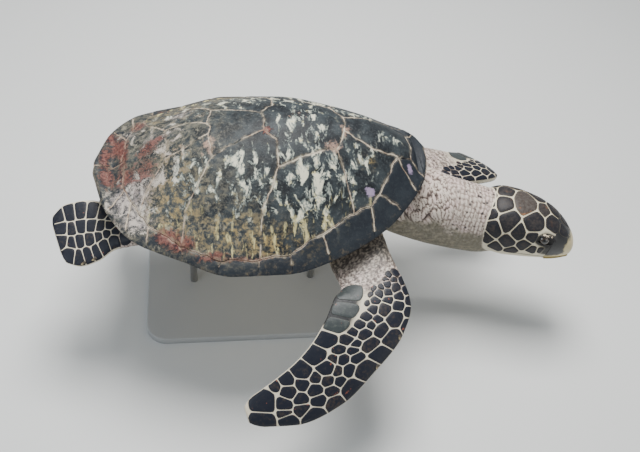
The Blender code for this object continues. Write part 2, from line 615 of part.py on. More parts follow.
def make_stand(plastron_cutter):
    length, width, height = BASE_SIZE
    outline = []
    for k, (sx, sy) in enumerate(((1, 1), (-1, 1), (-1, -1), (1, -1))):
        for a in np.linspace(0, math.pi / 2, 5) + k * math.pi / 2:
            outline.append((sx * (length / 2 - BASE_CORNER) + BASE_CORNER * math.cos(a),
                            sy * (width / 2 - BASE_CORNER) + BASE_CORNER * math.sin(a)))
    third = BASE_EASE / 3
    levels = [(0, 0), (height - BASE_EASE, 0), (height - third, third), (height, BASE_EASE)]
    rings = [[(x - math.copysign(back, x), y - math.copysign(back, y), z) for x, y in outline]
             for z, back in levels]
    loft("stand_base", rings, STAND_PAINT)
    reach = RIM_HEIGHT - BODY_DEPTH + SCUTE_THICKNESS * 2
    turn = [(ROD_RADIUS * math.cos(a), ROD_RADIUS * math.sin(a))
            for a in np.linspace(0, 2 * math.pi, ROD_SIDES, endpoint=False)]
    for word, x in ROD_PLACES.items():
        rings = [[(x + dx, dy, z) for dx, dy in turn] for z in (height + GAP, reach)]
        rod = loft(f"stand_rod_{word}", rings, ROD_STEEL, 1.0)
        combine(rod, plastron_cutter)


# ---- Assembly -----------------------------------------------------------------------------------
def main():
    for old in list(bpy.data.objects):
        bpy.data.objects.remove(old, do_unlink=True)
    core_cutter = make_trunk()
    make_scutes(core_cutter)
    plastron_cutter = make_plastron(core_cutter)
    neck_cutter = make_neck([core_cutter, plastron_cutter])
    make_head(neck_cutter)
    body = [core_cutter, plastron_cutter, neck_cutter]
    make_flipper(("arm_right", "flipper_right"), FRONT_RIGHT, 1, body, FRONT_RINGS)
    make_flipper(("arm_left", "flipper_left"), FRONT_LEFT, -1, body, FRONT_RINGS)
    make_flipper(("thigh_right", "hind_flipper_right"), HIND_RIGHT, 1, body[:2], HIND_RINGS)
    make_flipper(("thigh_left", "hind_flipper_left"), HIND_LEFT, -1, body[:2], HIND_RINGS)
    make_tail(body[:2])
    lift = Matrix.Translation((0, 0, RIM_HEIGHT))
    for piece in bpy.context.scene.objects:
        piece.data.transform(lift)
    make_stand(plastron_cutter)
    bpy.context.view_layer.update()


main()
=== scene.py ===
"""A hawksbill sea turtle, life-size and still, held over a plain display stand.

The pieces are made in the order a model maker would take: studio, stand, carapace, plastron, skin,
flipper plates, claws, head plates, beak and eyes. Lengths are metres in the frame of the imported
part: +X towards the head, +Y to the animal's left, +Z up, the floor at zero. The body's forms are
worked out about the middle of the carapace in the plane of its mid-side rim, then lifted.
"""
import math

import bpy
import numpy as np
from mathutils import Matrix, Vector


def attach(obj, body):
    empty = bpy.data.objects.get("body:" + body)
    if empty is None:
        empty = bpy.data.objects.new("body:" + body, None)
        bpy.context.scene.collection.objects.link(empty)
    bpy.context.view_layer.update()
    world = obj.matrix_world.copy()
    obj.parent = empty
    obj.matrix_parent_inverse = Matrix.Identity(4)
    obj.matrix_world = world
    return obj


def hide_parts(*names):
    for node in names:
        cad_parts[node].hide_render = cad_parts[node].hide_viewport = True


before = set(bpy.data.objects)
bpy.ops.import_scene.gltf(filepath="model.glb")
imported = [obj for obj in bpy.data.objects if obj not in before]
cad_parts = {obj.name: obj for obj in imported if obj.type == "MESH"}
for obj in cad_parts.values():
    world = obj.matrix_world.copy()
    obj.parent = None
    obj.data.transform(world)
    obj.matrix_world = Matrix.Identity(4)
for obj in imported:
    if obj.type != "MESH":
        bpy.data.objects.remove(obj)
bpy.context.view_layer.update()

# ---- Studio -------------------------------------------------------------------------------------
# A pale seamless floor under one broad lamp overhead, a cool lamp behind and a weak fill in front.
# The camera looks down on the animal's right side with a slightly long normal lens.
CAMERA_PLACE = (-0.1113, -1.1541, 1.5451)
CAMERA_TURN = (42.621, -3.268, -5.074)
CAMERA_LENS = 46.02
CAMERA_SHIFT = (0.0463, -0.0402)
LAMPS = {"overhead": ((0.1, 0.5, 2.5), 1.1, 106, (1.0, 0.99, 0.97)),
         "window": ((-2.0, -1.6, 1.9), 1.6, 26, (0.86, 0.93, 1.0)),
         "fill": ((1.9, -1.8, 1.1), 1.6, 12, (1.0, 0.97, 0.92))}
LAMP_AIM = (0.05, 0, 0.3)
AIR_COLOUR = (0.80, 0.86, 0.92, 1)
AIR_STRENGTH = 0.36
FLOOR_HALF = 6


class Wire:
    """A shader socket that can stand in sums: each operator adds one Math node."""

    def __init__(self, tree, socket):
        self.tree, self.socket = tree, socket

    def math(self, operation, *others):
        node = self.tree.nodes.new("ShaderNodeMath")
        node.operation = operation
        for slot, value in zip(node.inputs, (self, *others)):
            join(self.tree, slot, value)
        return Wire(self.tree, node.outputs[0])

    def __add__(self, other):
        return self.math("ADD", other)

    def __sub__(self, other):
        return self.math("SUBTRACT", other)

    def __rsub__(self, other):
        return self.math("MULTIPLY_ADD", -1.0, other)

    def __mul__(self, other):
        return self.math("MULTIPLY", other)

    __radd__, __rmul__ = __add__, __mul__


def join(tree, slot, value):
    """Feeds a socket from a wire, or sets it to a number or a colour."""
    if isinstance(value, Wire):
        tree.links.new(value.socket, slot)
    elif slot.type == "RGBA" and len(value) == 3:
        slot.default_value = (*value, 1)
    else:
        slot.default_value = value


class Finish:
    """A material with one Principled shader; node() makes any other node, settings first."""

    def __init__(self, name, **constants):
        self.material = bpy.data.materials.new(name)
        self.material.use_nodes = True
        self.tree = self.material.node_tree
        self.shader = self.tree.nodes["Principled BSDF"]
        self.feed(**constants)

    def feed(self, **values):
        for key, value in values.items():
            join(self.tree, self.shader.inputs[key.replace("_", " ")], value)

    def node(self, kind, settings=None, inputs=None, out=0):
        node = self.tree.nodes.new("ShaderNode" + kind)
        for key, value in (settings or {}).items():
            setattr(node, key, value)
        for key, value in (inputs or {}).items():
            join(self.tree, node.inputs[key], value)
        return Wire(self.tree, node.outputs[out])

    def spot(self):
        return self.node("TexCoord", out="Object")

    def layer(self, name, out="Fac"):
        return self.node("Attribute", {"attribute_name": name}, out=out)

    def noise(self, place, scale, detail=3.0, rough=0.55, warp=0.0):
        sizes = {"Vector": place, "Scale": scale, "Detail": detail, "Roughness": rough,
                 "Distortion": warp}
        return self.node("TexNoise", None, sizes)

    def cells(self, place, scale, jitter=1.0):
        """Distance from the nearest of scattered points."""
        return self.node("TexVoronoi", None, {"Vector": place, "Scale": scale, "Randomness": jitter})

    def step(self, value, low, high):
        """0 below low, 1 above high, eased between."""
        ends = {"Value": value, "From Min": low, "From Max": high}
        return self.node("MapRange", {"interpolation_type": "SMOOTHSTEP"}, ends)

    def blend(self, first, second, share):
        return self.node("Mix", {"data_type": "RGBA"}, {0: share, 6: first, 7: second}, 2)

    def coats(self, colour, *coats):
        """Colours laid one over another: each coat is a tint and the share of it that shows."""
        for tint, share in coats:
            colour = self.blend(colour, tint, share)
        return colour

    def bump(self, height, depth):
        normal = self.node("Bump", None, {"Height": height, "Strength": 1.0, "Distance": depth})
        self.feed(Normal=normal)


def volume(points, faces):
    """Signed volume inside a closed surface: the tetrahedra from its corners to the origin."""
    total = 0.0
    for f in faces:
        for k in range(1, f.shape[1] - 1):
            sides = np.cross(points[f[:, k]], points[f[:, k + 1]])
            total += float(np.sum(points[f[:, 0]] * sides))
    return total / 6


def mesh_piece(name, points, faces, finish, uv=None, layers=None):
    """A closed mesh at the origin, its faces turned outwards.

    faces holds arrays of quads or triangles, uv the place of each face corner on the unwrap, and
    layers one number or vector for each point.
    """
    points = np.asarray(points, float)
    if volume(points, faces) < 0:
        faces = [f[:, ::-1] for f in faces]
        uv = uv and [p[:, ::-1] for p in uv]
    corners = np.concatenate([f.ravel() for f in faces]).astype(np.int32)
    sizes = np.concatenate([np.full(len(f), f.shape[1]) for f in faces])
    mesh = bpy.data.meshes.new(name)
    mesh.vertices.add(len(points))
    mesh.vertices.foreach_set("co", points.astype(np.float32).ravel())
    mesh.loops.add(len(corners))
    mesh.loops.foreach_set("vertex_index", corners)
    mesh.polygons.add(len(sizes))
    mesh.polygons.foreach_set("loop_start", np.r_[0, np.cumsum(sizes)[:-1]].astype(np.int32))
    mesh.update(calc_edges=True)
    if uv:
        flat = np.concatenate([p.reshape(-1, 2) for p in uv])
        mesh.uv_layers.new(name="OFBake").data.foreach_set("uv", flat.astype(np.float32).ravel())
    for key, values in (layers or {}).items():
        kind, field = ("FLOAT", "value") if values.ndim == 1 else ("FLOAT_VECTOR", "vector")
        made = mesh.attributes.new(key, kind, "POINT")
        made.data.foreach_set(field, values.astype(np.float32).ravel())
    mesh.shade_smooth()
    mesh.materials.append(finish.material)
    made = bpy.data.objects.new(name, mesh)
    bpy.context.scene.collection.objects.link(made)
    return made


def ready(obj, slot, *replaced):
    """The piece rides on the one body and stands for CAD nodes; slot is not used."""
    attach(obj, "root")
    if replaced:
        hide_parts(*replaced)
    return obj


floor_finish = Finish("studio_floor", Base_Color=(0.70, 0.71, 0.70), Roughness=0.85)
floor_mesh = bpy.data.meshes.new("studio_floor")
floor_corners = [(x * FLOOR_HALF, y * FLOOR_HALF, 0) for x, y in ((-1, -1), (1, -1), (1, 1), (-1, 1))]
floor_mesh.from_pydata(floor_corners, [], [(0, 1, 2, 3)])
floor_mesh.materials.append(floor_finish.material)
floor = bpy.data.objects.new("studio_floor", floor_mesh)
bpy.context.scene.collection.objects.link(floor)

for word, (spot, size, power, colour) in LAMPS.items():
    lamp = bpy.data.lights.new(word, "AREA")
    lamp.size, lamp.energy, lamp.color = size, power, colour
    holder = bpy.data.objects.new(word, lamp)
    holder.location = spot
    holder.rotation_euler = (Vector(LAMP_AIM) - Vector(spot)).to_track_quat("-Z", "Y").to_euler()
    bpy.context.scene.collection.objects.link(holder)

world = bpy.data.worlds.new("studio_air")
world.use_nodes = True
air = world.node_tree.nodes["Background"].inputs
air["Color"].default_value = AIR_COLOUR
air["Strength"].default_value = AIR_STRENGTH
bpy.context.scene.world = world

lens = bpy.data.cameras.new("camera")
lens.lens, lens.sensor_width = CAMERA_LENS, 36
lens.shift_x, lens.shift_y = CAMERA_SHIFT
camera = bpy.data.objects.new("camera", lens)
camera.location = CAMERA_PLACE
camera.rotation_euler = [math.radians(a) for a in CAMERA_TURN]
bpy.context.scene.collection.objects.link(camera)
bpy.context.scene.camera = camera

# ---- Carapace -----------------------------------------------------------------------------------
# Thirty-eight horn plates over the bony shell: a nuchal, five vertebrals, four costals a side and
# the margin. Old horn, worn smooth at its edges, dark with pale blotches, its sutures pale, and
# with weed grown over the rear.
CARAPACE_LENGTH = 0.66
CARAPACE_WIDTH = 0.50
DOME_HEIGHT = 0.155
BODY_DEPTH = 0.106
RIM_HEIGHT = 0.36
FRONT_RIM_RISE = 0.055
REAR_RIM_RISE = 0.036
RIM_EDGE = 0.008
RIM_SLOPE = 0.012
GAP = 0.0003
WIDTH_AT = [0, 0.02, 0.06, 0.15, 0.30, 0.45, 0.60, 0.75, 0.88, 0.96, 1]
WIDTH_SHARE = [0.10, 0.26, 0.41, 0.635, 0.865, 0.995, 1.0, 0.85, 0.69, 0.42, 0.08]
HORN_THICKNESS = 0.0038
PLATE_STEP = 0.0036           # spacing of a plate's points
SEAM_BEVEL = 0.0011           # depth of the groove where two plates meet
SEAM_BEVEL_WIDTH = 0.0024
SEAM_WANDER = 0.0023          # how far a suture strays from its straight line
OVERLAP_STEP = 0.0007         # each plate's front edge lies below the rear edge of the one before
BEVEL_RINGS = [0, 0.0005, 0.0012, 0.0024]    # how far in the rings lie that draw the groove
THINNEST = 0.0012
MARGIN_FLOOR = 0.0004         # the margin's plates end this far above the rim's underside
GROWTH_WIDTH = 0.0085         # from one growth ring of a plate to the next
GROWTH_DEPTH = 0.00016
WEAR_DEPTH = 0.00030
PIT_DEPTH = 0.0005
RIM_ROLL = (0.0040, 0.017)    # the margin rolls down towards the rim: depth, width
PLATE_ROLL = (0.0016, 0.010)  # and each of its plates towards its own edge
CELL_PRIMES = np.array([73856093, 19349663, 83492791])


def smooth(xs, ys, x):
    """A monotone cubic through (xs, ys), read at x: harmonic-mean slopes, Hermite pieces."""
    xs, ys = np.asarray(xs, float), np.asarray(ys, float)
    x = np.clip(x, xs[0], xs[-1])
    h = np.diff(xs)
    d = np.diff(ys) / h
    slope = np.concatenate([[d[0]], np.zeros(len(d) - 1), [d[-1]]])
    same = d[1:] * d[:-1] > 0
    both = np.where(same, d[1:] + d[:-1], 1)
    slope[1:-1] = np.where(same, 2 * d[1:] * d[:-1] / both, 0)
    i = np.clip(np.searchsorted(xs, x, side="right") - 1, 0, len(h) - 1)
    u = (x - xs[i]) / h[i]
    rise = ys[i] * (1 + 2 * u) * (1 - u) ** 2 + ys[i + 1] * u * u * (3 - 2 * u)
    return rise + h[i] * (slope[i] * u * (1 - u) ** 2 - slope[i + 1] * u * u * (1 - u))


def ramp(x, start, end):
    """0 before start, 1 after end, eased between."""
    u = np.clip((x - start) / (end - start), 0, 1)
    return u * u * (3 - 2 * u)


def half_width(s):
    return smooth(WIDTH_AT, WIDTH_SHARE, s) * CARAPACE_WIDTH / 2


def rim_height(s):
    rises = [FRONT_RIM_RISE, 0.22 * FRONT_RIM_RISE, 0, 0, 0.4 * REAR_RIM_RISE, REAR_RIM_RISE]
    return smooth([0, 0.15, 0.35, 0.6, 0.85, 1], rises, s)


def crest_height(s):
    shares = [0, 0.46, 0.80, 1, 0.87, 0.47, 0]
    ends = ramp(s, 0.2, 0) * (FRONT_RIM_RISE + 0.004) + ramp(s, 0.85, 1) * (REAR_RIM_RISE + 0.004)
    return np.maximum(smooth([0, 0.05, 0.2, 0.42, 0.65, 0.85, 1], shares, s) * DOME_HEIGHT, ends)


def shares_of(x, y):
    """Place on the carapace: s from 0 at the nuchal edge to 1 at the tail, t from 0 to 1 aside."""
    s = np.clip((CARAPACE_LENGTH / 2 - x) / CARAPACE_LENGTH, 0, 1)
    return s, np.clip(np.abs(y) / half_width(s), 0, 1)


def shell_top(x, y):
    """Upper surface: rim + (crest - rim)(1 - t^1.8)^1.3, with t the share of the half-width."""
    s, t = shares_of(x, y)
    rim = rim_height(s)
    return rim + np.maximum(crest_height(s) - rim, 0.002) * (1 - t ** 1.8) ** 1.3


def rim_underside(x, y):
    s, t = shares_of(x, y)
    return rim_height(s) - RIM_EDGE - RIM_SLOPE * (1 - t)


def body_underside(x, y):
    """Underside: the flat under the rim, then the flank, then the broad plastron."""
    s, t = shares_of(x, y)
    depths = [0, 0.34, 0.82, 1, 1.02, 1, 0.82, 0.5, 0.12, 0]
    depth = smooth([0, 0.05, 0.12, 0.2, 0.4, 0.55, 0.75, 0.86, 0.95, 1], depths, s) * BODY_DEPTH
    drop = depth * (0.95 + 0.05 * (1 - t * t)) - RIM_EDGE - RIM_SLOPE * (1 - t)
    return rim_underside(x, y) - np.maximum(drop, 0) * ramp(t, 0.92, 0.62)


def cell_key(corner):
    return (corner * CELL_PRIMES[:corner.shape[1]]).sum(1)


def stirred(key, shift=13, factor=1274126177):
    return (key ^ (key >> shift)) * factor & 0x7FFFFFFF


def grain(points, size, seed=0.0):
    """Smooth noise from -1 to 1: values hashed at the corners of cells of the given size, blended
    across each cell with eased weights."""
    p = np.asarray(points) / size + 37.7 * seed + 512.5
    cell = np.floor(p).astype(np.int64)
    f = p - cell
    f = f * f * (3 - 2 * f)
    total = np.zeros(len(p))
    for step in np.ndindex((2,) * p.shape[1]):
        key = stirred(stirred(cell_key(cell + step)), 15, 668265263)
        weight = np.prod(np.where(step, f, 1 - f), 1)
        total += weight * ((key >> 8) % 65536 / 32767.5 - 1)
    return total


# Corners of the plates on one side: share of the length, share of the half-width.
CORNERS = {
    "nuchal_mid": (0.052, 0), "nuchal_v1": (0.058, 0.30), "v1_front": (0.108, 0.32),
    "v1_waist": (0.18, 0.25), "v1_v2": (0.262, 0), "v1_v2_c1": (0.267, 0.09),
    "v2_c1_c2": (0.296, 0.265), "v2_c2": (0.36, 0.30), "v2_c2_c3": (0.467, 0.385),
    "v2_c3": (0.47, 0.195), "v2_v3_c3": (0.505, 0.10), "v2_v3": (0.498, 0),
    "v3_c3": (0.584, 0.18), "v3_c3_c4": (0.649, 0.265), "v3_v4_c4": (0.662, 0.06),
    "v3_v4": (0.657, 0), "v4_c4": (0.73, 0.16), "v4_v5_c4": (0.785, 0.20), "v4_v5": (0.778, 0),
    "v5_c4": (0.83, 0.43), "c3_c4": (0.729, 0.655), "c2_c3": (0.515, 0.64),
}
# Partings of the margin, nuchal to supracaudal: (s, t) at the inner line, then s at the edge.
MARGIN = [(0.058, 0.30, 0.020), (0.108, 0.32, 0.045), (0.170, 0.66, 0.094), (0.198, 0.73, 0.188),
          (0.347, 0.81, 0.321), (0.443, 0.89, 0.435), (0.530, 0.91, 0.533), (0.634, 0.91, 0.645),
          (0.743, 0.90, 0.740), (0.835, 0.80, 0.835), (0.885, 0.58, 0.900), (0.905, 0.44, 0.955),
          (0.915, 0.0, 1.0)]
MARGIN_BENDS = {4: (0.250, 0.752), 10: (0.862, 0.70)}
# Stains: share of the length, share of the half-width (right side negative), half-length and
# half-breadth in metres, strength.
STAINS = {
    "cream": [(0.36, -0.50, 0.075, 0.070, 1.0), (0.36, 0.50, 0.080, 0.070, 1.0),
              (0.57, -0.45, 0.070, 0.060, 0.75), (0.57, 0.45, 0.075, 0.065, 0.8),
              (0.21, -0.35, 0.030, 0.040, 0.6), (0.21, 0.35, 0.035, 0.040, 0.6),
              (0.40, 0.0, 0.060, 0.050, 0.55), (0.13, -0.08, 0.030, 0.014, 0.9),
              (0.72, -0.40, 0.050, 0.060, 0.55), (0.74, 0.42, 0.060, 0.060, 0.6),
              (0.86, -0.80, 0.045, 0.030, 0.9), (0.90, -0.55, 0.030, 0.030, 0.8)],
    "ochre": [(0.62, -0.74, 0.050, 0.030, 1.0), (0.51, -0.82, 0.035, 0.024, 1.0),
              (0.79, -0.52, 0.050, 0.060, 0.9), (0.74, -0.68, 0.040, 0.040, 0.8),
              (0.78, -0.25, 0.030, 0.030, 0.7), (0.207, -0.375, 0.013, 0.010, 1.0),
              (0.40, -0.86, 0.050, 0.018, 0.7), (0.60, 0.76, 0.060, 0.035, 0.9),
              (0.77, 0.55, 0.060, 0.055, 0.8), (0.45, 0.82, 0.060, 0.022, 0.8)],
    "crust": [(0.305, -0.26, 0.030, 0.024, 1.0), (0.262, -0.07, 0.024, 0.026, 0.9),
              (0.400, 0.04, 0.050, 0.024, 0.8), (0.657, -0.17, 0.020, 0.040, 0.9),
              (0.30, 0.27, 0.024, 0.022, 0.8), (0.48, -0.62, 0.030, 0.030, 0.6),
              (0.74, -0.16, 0.050, 0.030, 0.8), (0.68, 0.20, 0.050, 0.030, 0.7)],
    "weed": [(0.928, 0.36, 0.022, 0.030, 1.0), (0.872, 0.60, 0.024, 0.030, 0.9),
             (0.958, 0.80, 0.020, 0.022, 0.9), (0.971, 0.30, 0.014, 0.030, 0.9),
             (0.960, -0.25, 0.018, 0.040, 0.95), (0.801, 0.09, 0.022, 0.012, 0.8),
             (0.912, 0.09, 0.010, 0.045, 1.0), (0.840, 0.02, 0.030, 0.024, 0.8),
             (0.787, -0.86, 0.034, 0.018, 1.0), (0.738, -0.89, 0.032, 0.015, 1.0),
             (0.661, -0.905, 0.040, 0.010, 0.9), (0.560, -0.905, 0.060, 0.007, 0.8),
             (0.494, -0.11, 0.014, 0.012, 1.0), (0.835, -0.26, 0.030, 0.045, 0.7),
             (0.80, 0.84, 0.030, 0.016, 0.7), (0.90, -0.30, 0.030, 0.030, 0.8)],
    "bloom": [(0.908, -0.57, 0.045, 0.045, 0.8), (0.858, -0.80, 0.050, 0.034, 0.8),
              (0.743, 0.43, 0.045, 0.040, 0.8), (0.90, 0.50, 0.040, 0.040, 0.7),
              (0.86, -0.45, 0.060, 0.060, 0.7), (0.80, 0.10, 0.070, 0.060, 0.7),
              (0.76, -0.30, 0.050, 0.050, 0.5)],
    "violet": [(0.201, -0.625, 0.016, 0.013, 1.0), (0.066, -0.53, 0.010, 0.016, 1.0)],
    "worn": [(0.80, -0.20, 0.100, 0.110, 1.0), (0.84, -0.60, 0.090, 0.080, 1.0),
             (0.70, -0.66, 0.080, 0.070, 0.7), (0.84, 0.40, 0.100, 0.100, 1.0),
             (0.60, -0.72, 0.060, 0.050, 0.5), (0.62, 0.60, 0.070, 0.060, 0.5)],
}


def place(s, t):
    return np.array([CARAPACE_LENGTH * (0.5 - s), t * float(half_width(s))])


def line_of(names, side):
    """The outline's corners in the top view, by name or as (s, t)."""
    points = [CORNERS[n] if isinstance(n, str) else n[:2] for n in names]
    return [place(s, side * t) for s, t in points]


def divided(corners, step):
    """A closed outline as an array with points added no further apart than step."""
    out = []
    for a, b in zip(corners, corners[1:] + corners[:1]):
        count = max(1, round(float(np.linalg.norm(b - a)) / step))
        out.append(a + (b - a) * (np.arange(count) / count)[:, None])
    return np.concatenate(out)


def wandering(outline):
    """Sutures stray from straight lines by noise that neighbours share; the outer rim does not."""
    _, t = shares_of(outline[:, 0], outline[:, 1])
    keel = ramp(np.abs(outline[:, 1]), 0, 0.012)
    stray = np.stack([grain(outline, 0.019, 1) + 0.6 * grain(outline, 0.008, 2),
                      (grain(outline, 0.019, 3) + 0.6 * grain(outline, 0.008, 4)) * keel], 1)
    return outline + SEAM_WANDER * stray * (1 - ramp(t, 0.93, 0.99))[:, None]


def inset(outline, by):
    """The outline moved inwards by a fixed distance, corner by corner."""
    area = np.sum(outline[:, 0] * np.roll(outline[:, 1], -1)
                  - np.roll(outline[:, 0], -1) * outline[:, 1])
    edge = np.roll(outline, -1, 0) - outline
    edge = edge / np.linalg.norm(edge, axis=1)[:, None]
    normal = np.stack([-edge[:, 1], edge[:, 0]], 1) * np.sign(area)
    both = normal + np.roll(normal, 1, 0)
    both /= np.maximum(np.sum(both * both, 1), 0.6)[:, None] / 2
    return outline + both * by


def edge_distance(outline, points):
    """Least distance in the top view from each point to the outline's segments."""
    start, run = outline, np.roll(outline, -1, 0) - outline
    away = points[:, None] - start
    along = np.clip((away * run).sum(-1) / np.maximum((run * run).sum(-1), 1e-12), 0, 1)
    return np.linalg.norm(away - along[..., None] * run, axis=-1).min(1)


def stain(kind, x, y):
    """Strength of a stain: 1 - product of (1 - strength exp(-d^2)) over its patches."""
    clear = np.ones(len(x))
    for s, t, length, breadth, strength in STAINS[kind]:
        cx, cy = place(s, t)
        clear *= 1 - strength * np.exp(-((x - cx) / length) ** 2 - ((y - cy) / breadth) ** 2)
    return 1 - clear


def shell_layers(flat, edge, margin):
    """The layers that the horn's finish reads: distance from the suture in millimetres, the
    stains, how near the margin, and the lie of the plate along and round the dome."""
    x, y = flat.T
    s, t = shares_of(x, y)
    layers = {kind: stain(kind, x, y) for kind in STAINS}
    layers["edge"] = edge * 1000 + 40 * ramp(t, 0.955, 0.975)
    layers["brink"] = ramp(t, 0.90, 0.99)
    layers["margin"] = np.full(len(x), float(margin))
    layers["low"] = ramp(t, 0.5, 0.85)
    girth = y * (1 + 0.35 * t * t)
    layers["lie"] = np.stack([x, girth, 0 * x], 1)
    return layers


def ring_quads(rings, count):
    """Quads from each ring of count points to the next, ring by ring."""
    i, j = np.divmod(np.arange((rings - 1) * count), count)
    k = (j + 1) % count
    return np.stack([i * count + j, i * count + k, (i + 1) * count + k, (i + 1) * count + j], 1)


def fan(start, count, centre):
    """Triangles from a ring of count points to its centre."""
    j = np.arange(count)
    return np.stack([start + j, start + (j + 1) % count, np.full(count, centre)], 1)


def horn_plate(name, corners, margin):
    """A plate as rings from its suture to its middle; z is the shell's surface less a bevel at
    the suture, growth rings, wear and the step under the plate before it. A wall and a plain
    underside close it. margin is 1 for the plates of the margin, which roll over, and else 0."""
    outline = inset(wandering(divided(corners, PLATE_STEP)), GAP / 2)
    middle = outline.mean(0)
    reach = np.linalg.norm(middle - outline, axis=1)
    count = max(3, round((reach.mean() - BEVEL_RINGS[-1]) / PLATE_STEP))
    rings = [outline + (middle - outline) * np.minimum(d / reach, 0.3)[:, None] for d in BEVEL_RINGS]
    last = rings[-1]
    rings += [last + (middle - last) * k / count for k in range(1, count)]
    flat = np.concatenate(rings + [middle[None]])
    along, aside = shares_of(*flat.T)
    edge = edge_distance(outline, flat)
    spread = max(np.ptp(outline[:, 0]), 0.02)
    ahead = np.clip((flat[:, 0] - outline[:, 0].min()) / spread, 0, 1)
    years = 0.5 - 0.5 * np.cos(2 * math.pi * edge / GROWTH_WIDTH + 2.5 * grain(flat, 0.05, 5))
    wear = 0.5 - 0.5 * grain(flat, 0.011, 6)
    pits = np.maximum(grain(flat, 0.0042, 7) - 0.35, 0)
    to_rim = (1 - aside) * half_width(along)
    rolled = sum(deep * np.clip(1 - away / wide, 0, 1) ** 2
                 for away, (deep, wide) in ((to_rim, RIM_ROLL), (edge, PLATE_ROLL)))
    fall = (SEAM_BEVEL * (1 - ramp(edge, -0.0006, SEAM_BEVEL_WIDTH)) + OVERLAP_STEP * ahead
            + margin * rolled + GROWTH_DEPTH * years + WEAR_DEPTH * wear + PIT_DEPTH * pits)
    top = shell_top(*flat.T) - fall
    n, m = len(outline), len(rings)
    below = np.concatenate([outline, middle[None]])
    low = rim_underside(*below.T) + MARGIN_FLOOR if margin else shell_top(*below.T) - HORN_THICKNESS
    low = np.minimum(low, top[np.r_[0:n, -1]] - THINNEST)
    points = np.concatenate([np.column_stack([flat, top]), np.column_stack([below, low])])
    layers = shell_layers(points[:, :2], np.concatenate([edge, np.zeros(n + 1)]), margin)
    points[:, 2] += RIM_HEIGHT
    base = m * n + 1
    j, k = np.arange(n), (np.arange(n) + 1) % n
    quads = np.concatenate([ring_quads(m, n), np.stack([base + j, base + k, k, j], 1)])
    fans = np.concatenate([fan((m - 1) * n, n, m * n), fan(base, n, base + n)[:, [1, 0, 2]]])
    return mesh_piece(name + "_horn", points, [quads, fans], horn, None, layers)


horn = Finish("shell_horn")
lie = horn.layer("lie", "Vector")
here = horn.spot()
stretched = horn.node("VectorMath", {"operation": "MULTIPLY"}, {0: lie, 1: (1.0, 0.55, 1.0)})
fanned = horn.node("VectorMath", {"operation": "MULTIPLY"}, {0: lie, 1: (1.0, 0.22, 1.0)})
speck = horn.noise(here, 520.0, 3.0, 0.75)
fine = horn.noise(here, 210.0, 4.0, 0.72)
cloud = horn.noise(here, 34.0, 4.0, 0.6)
mottle = horn.noise(here, 75.0, 5.0, 0.68, 0.4)
blots = horn.noise(stretched, 58.0, 5.0, 0.66, 0.5)
margin, low, edge, brink = map(horn.layer, ("margin", "low", "edge", "brink"))
cream, ochre, crust, weed, bloom, violet, worn = map(horn.layer, STAINS)

# Cream blots: a greyish halo, then a pale middle, broken by the fine grain.
ragged = blots + fine * 0.16 + cream * 0.15
blot_edge = horn.step(ragged, 0.685, 0.735)
blot_tint = horn.coats((0.19, 0.22, 0.20), ((0.64, 0.62, 0.48), horn.step(ragged, 0.725, 0.80)),
                       ((0.62, 0.52, 0.20), horn.step(mottle + low * 0.16, 0.55, 0.70) * 0.6))
streaks = horn.step(horn.noise(fanned, 80.0, 4.0, 0.6, 0.3) + low * 0.10 + fine * 0.12, 0.69, 0.78)
weed_share = horn.step(weed * 0.75 + mottle + fine * 0.7, 1.22, 1.52)
weed_tint = horn.coats((0.085, 0.020, 0.018),
                       ((0.190, 0.062, 0.046), horn.step(fine + cloud * 0.5, 0.62, 0.92)),
                       ((0.33, 0.19, 0.16), horn.step(speck + mottle * 0.5, 0.82, 0.94) * 0.7))

# Sutures: pale lines of uneven strength, here and there overgrown.
strength = horn.noise(here, 30.0, 3.0, 0.6)
suture = 1 - horn.step(edge - strength * 1.3 - fine * 0.6, -0.40, 0.30)
halo = (1 - horn.step(edge - mottle * 6.0, -1.6, 1.6)) * horn.step(mottle + fine * 0.3, 0.55, 0.80)
suture_tint = horn.coats((0.34, 0.24, 0.17),
                         ((0.64, 0.56, 0.44), horn.step(mottle + fine * 0.3, 0.50, 0.70)),
                         ((0.26, 0.11, 0.08), weed * 0.8))

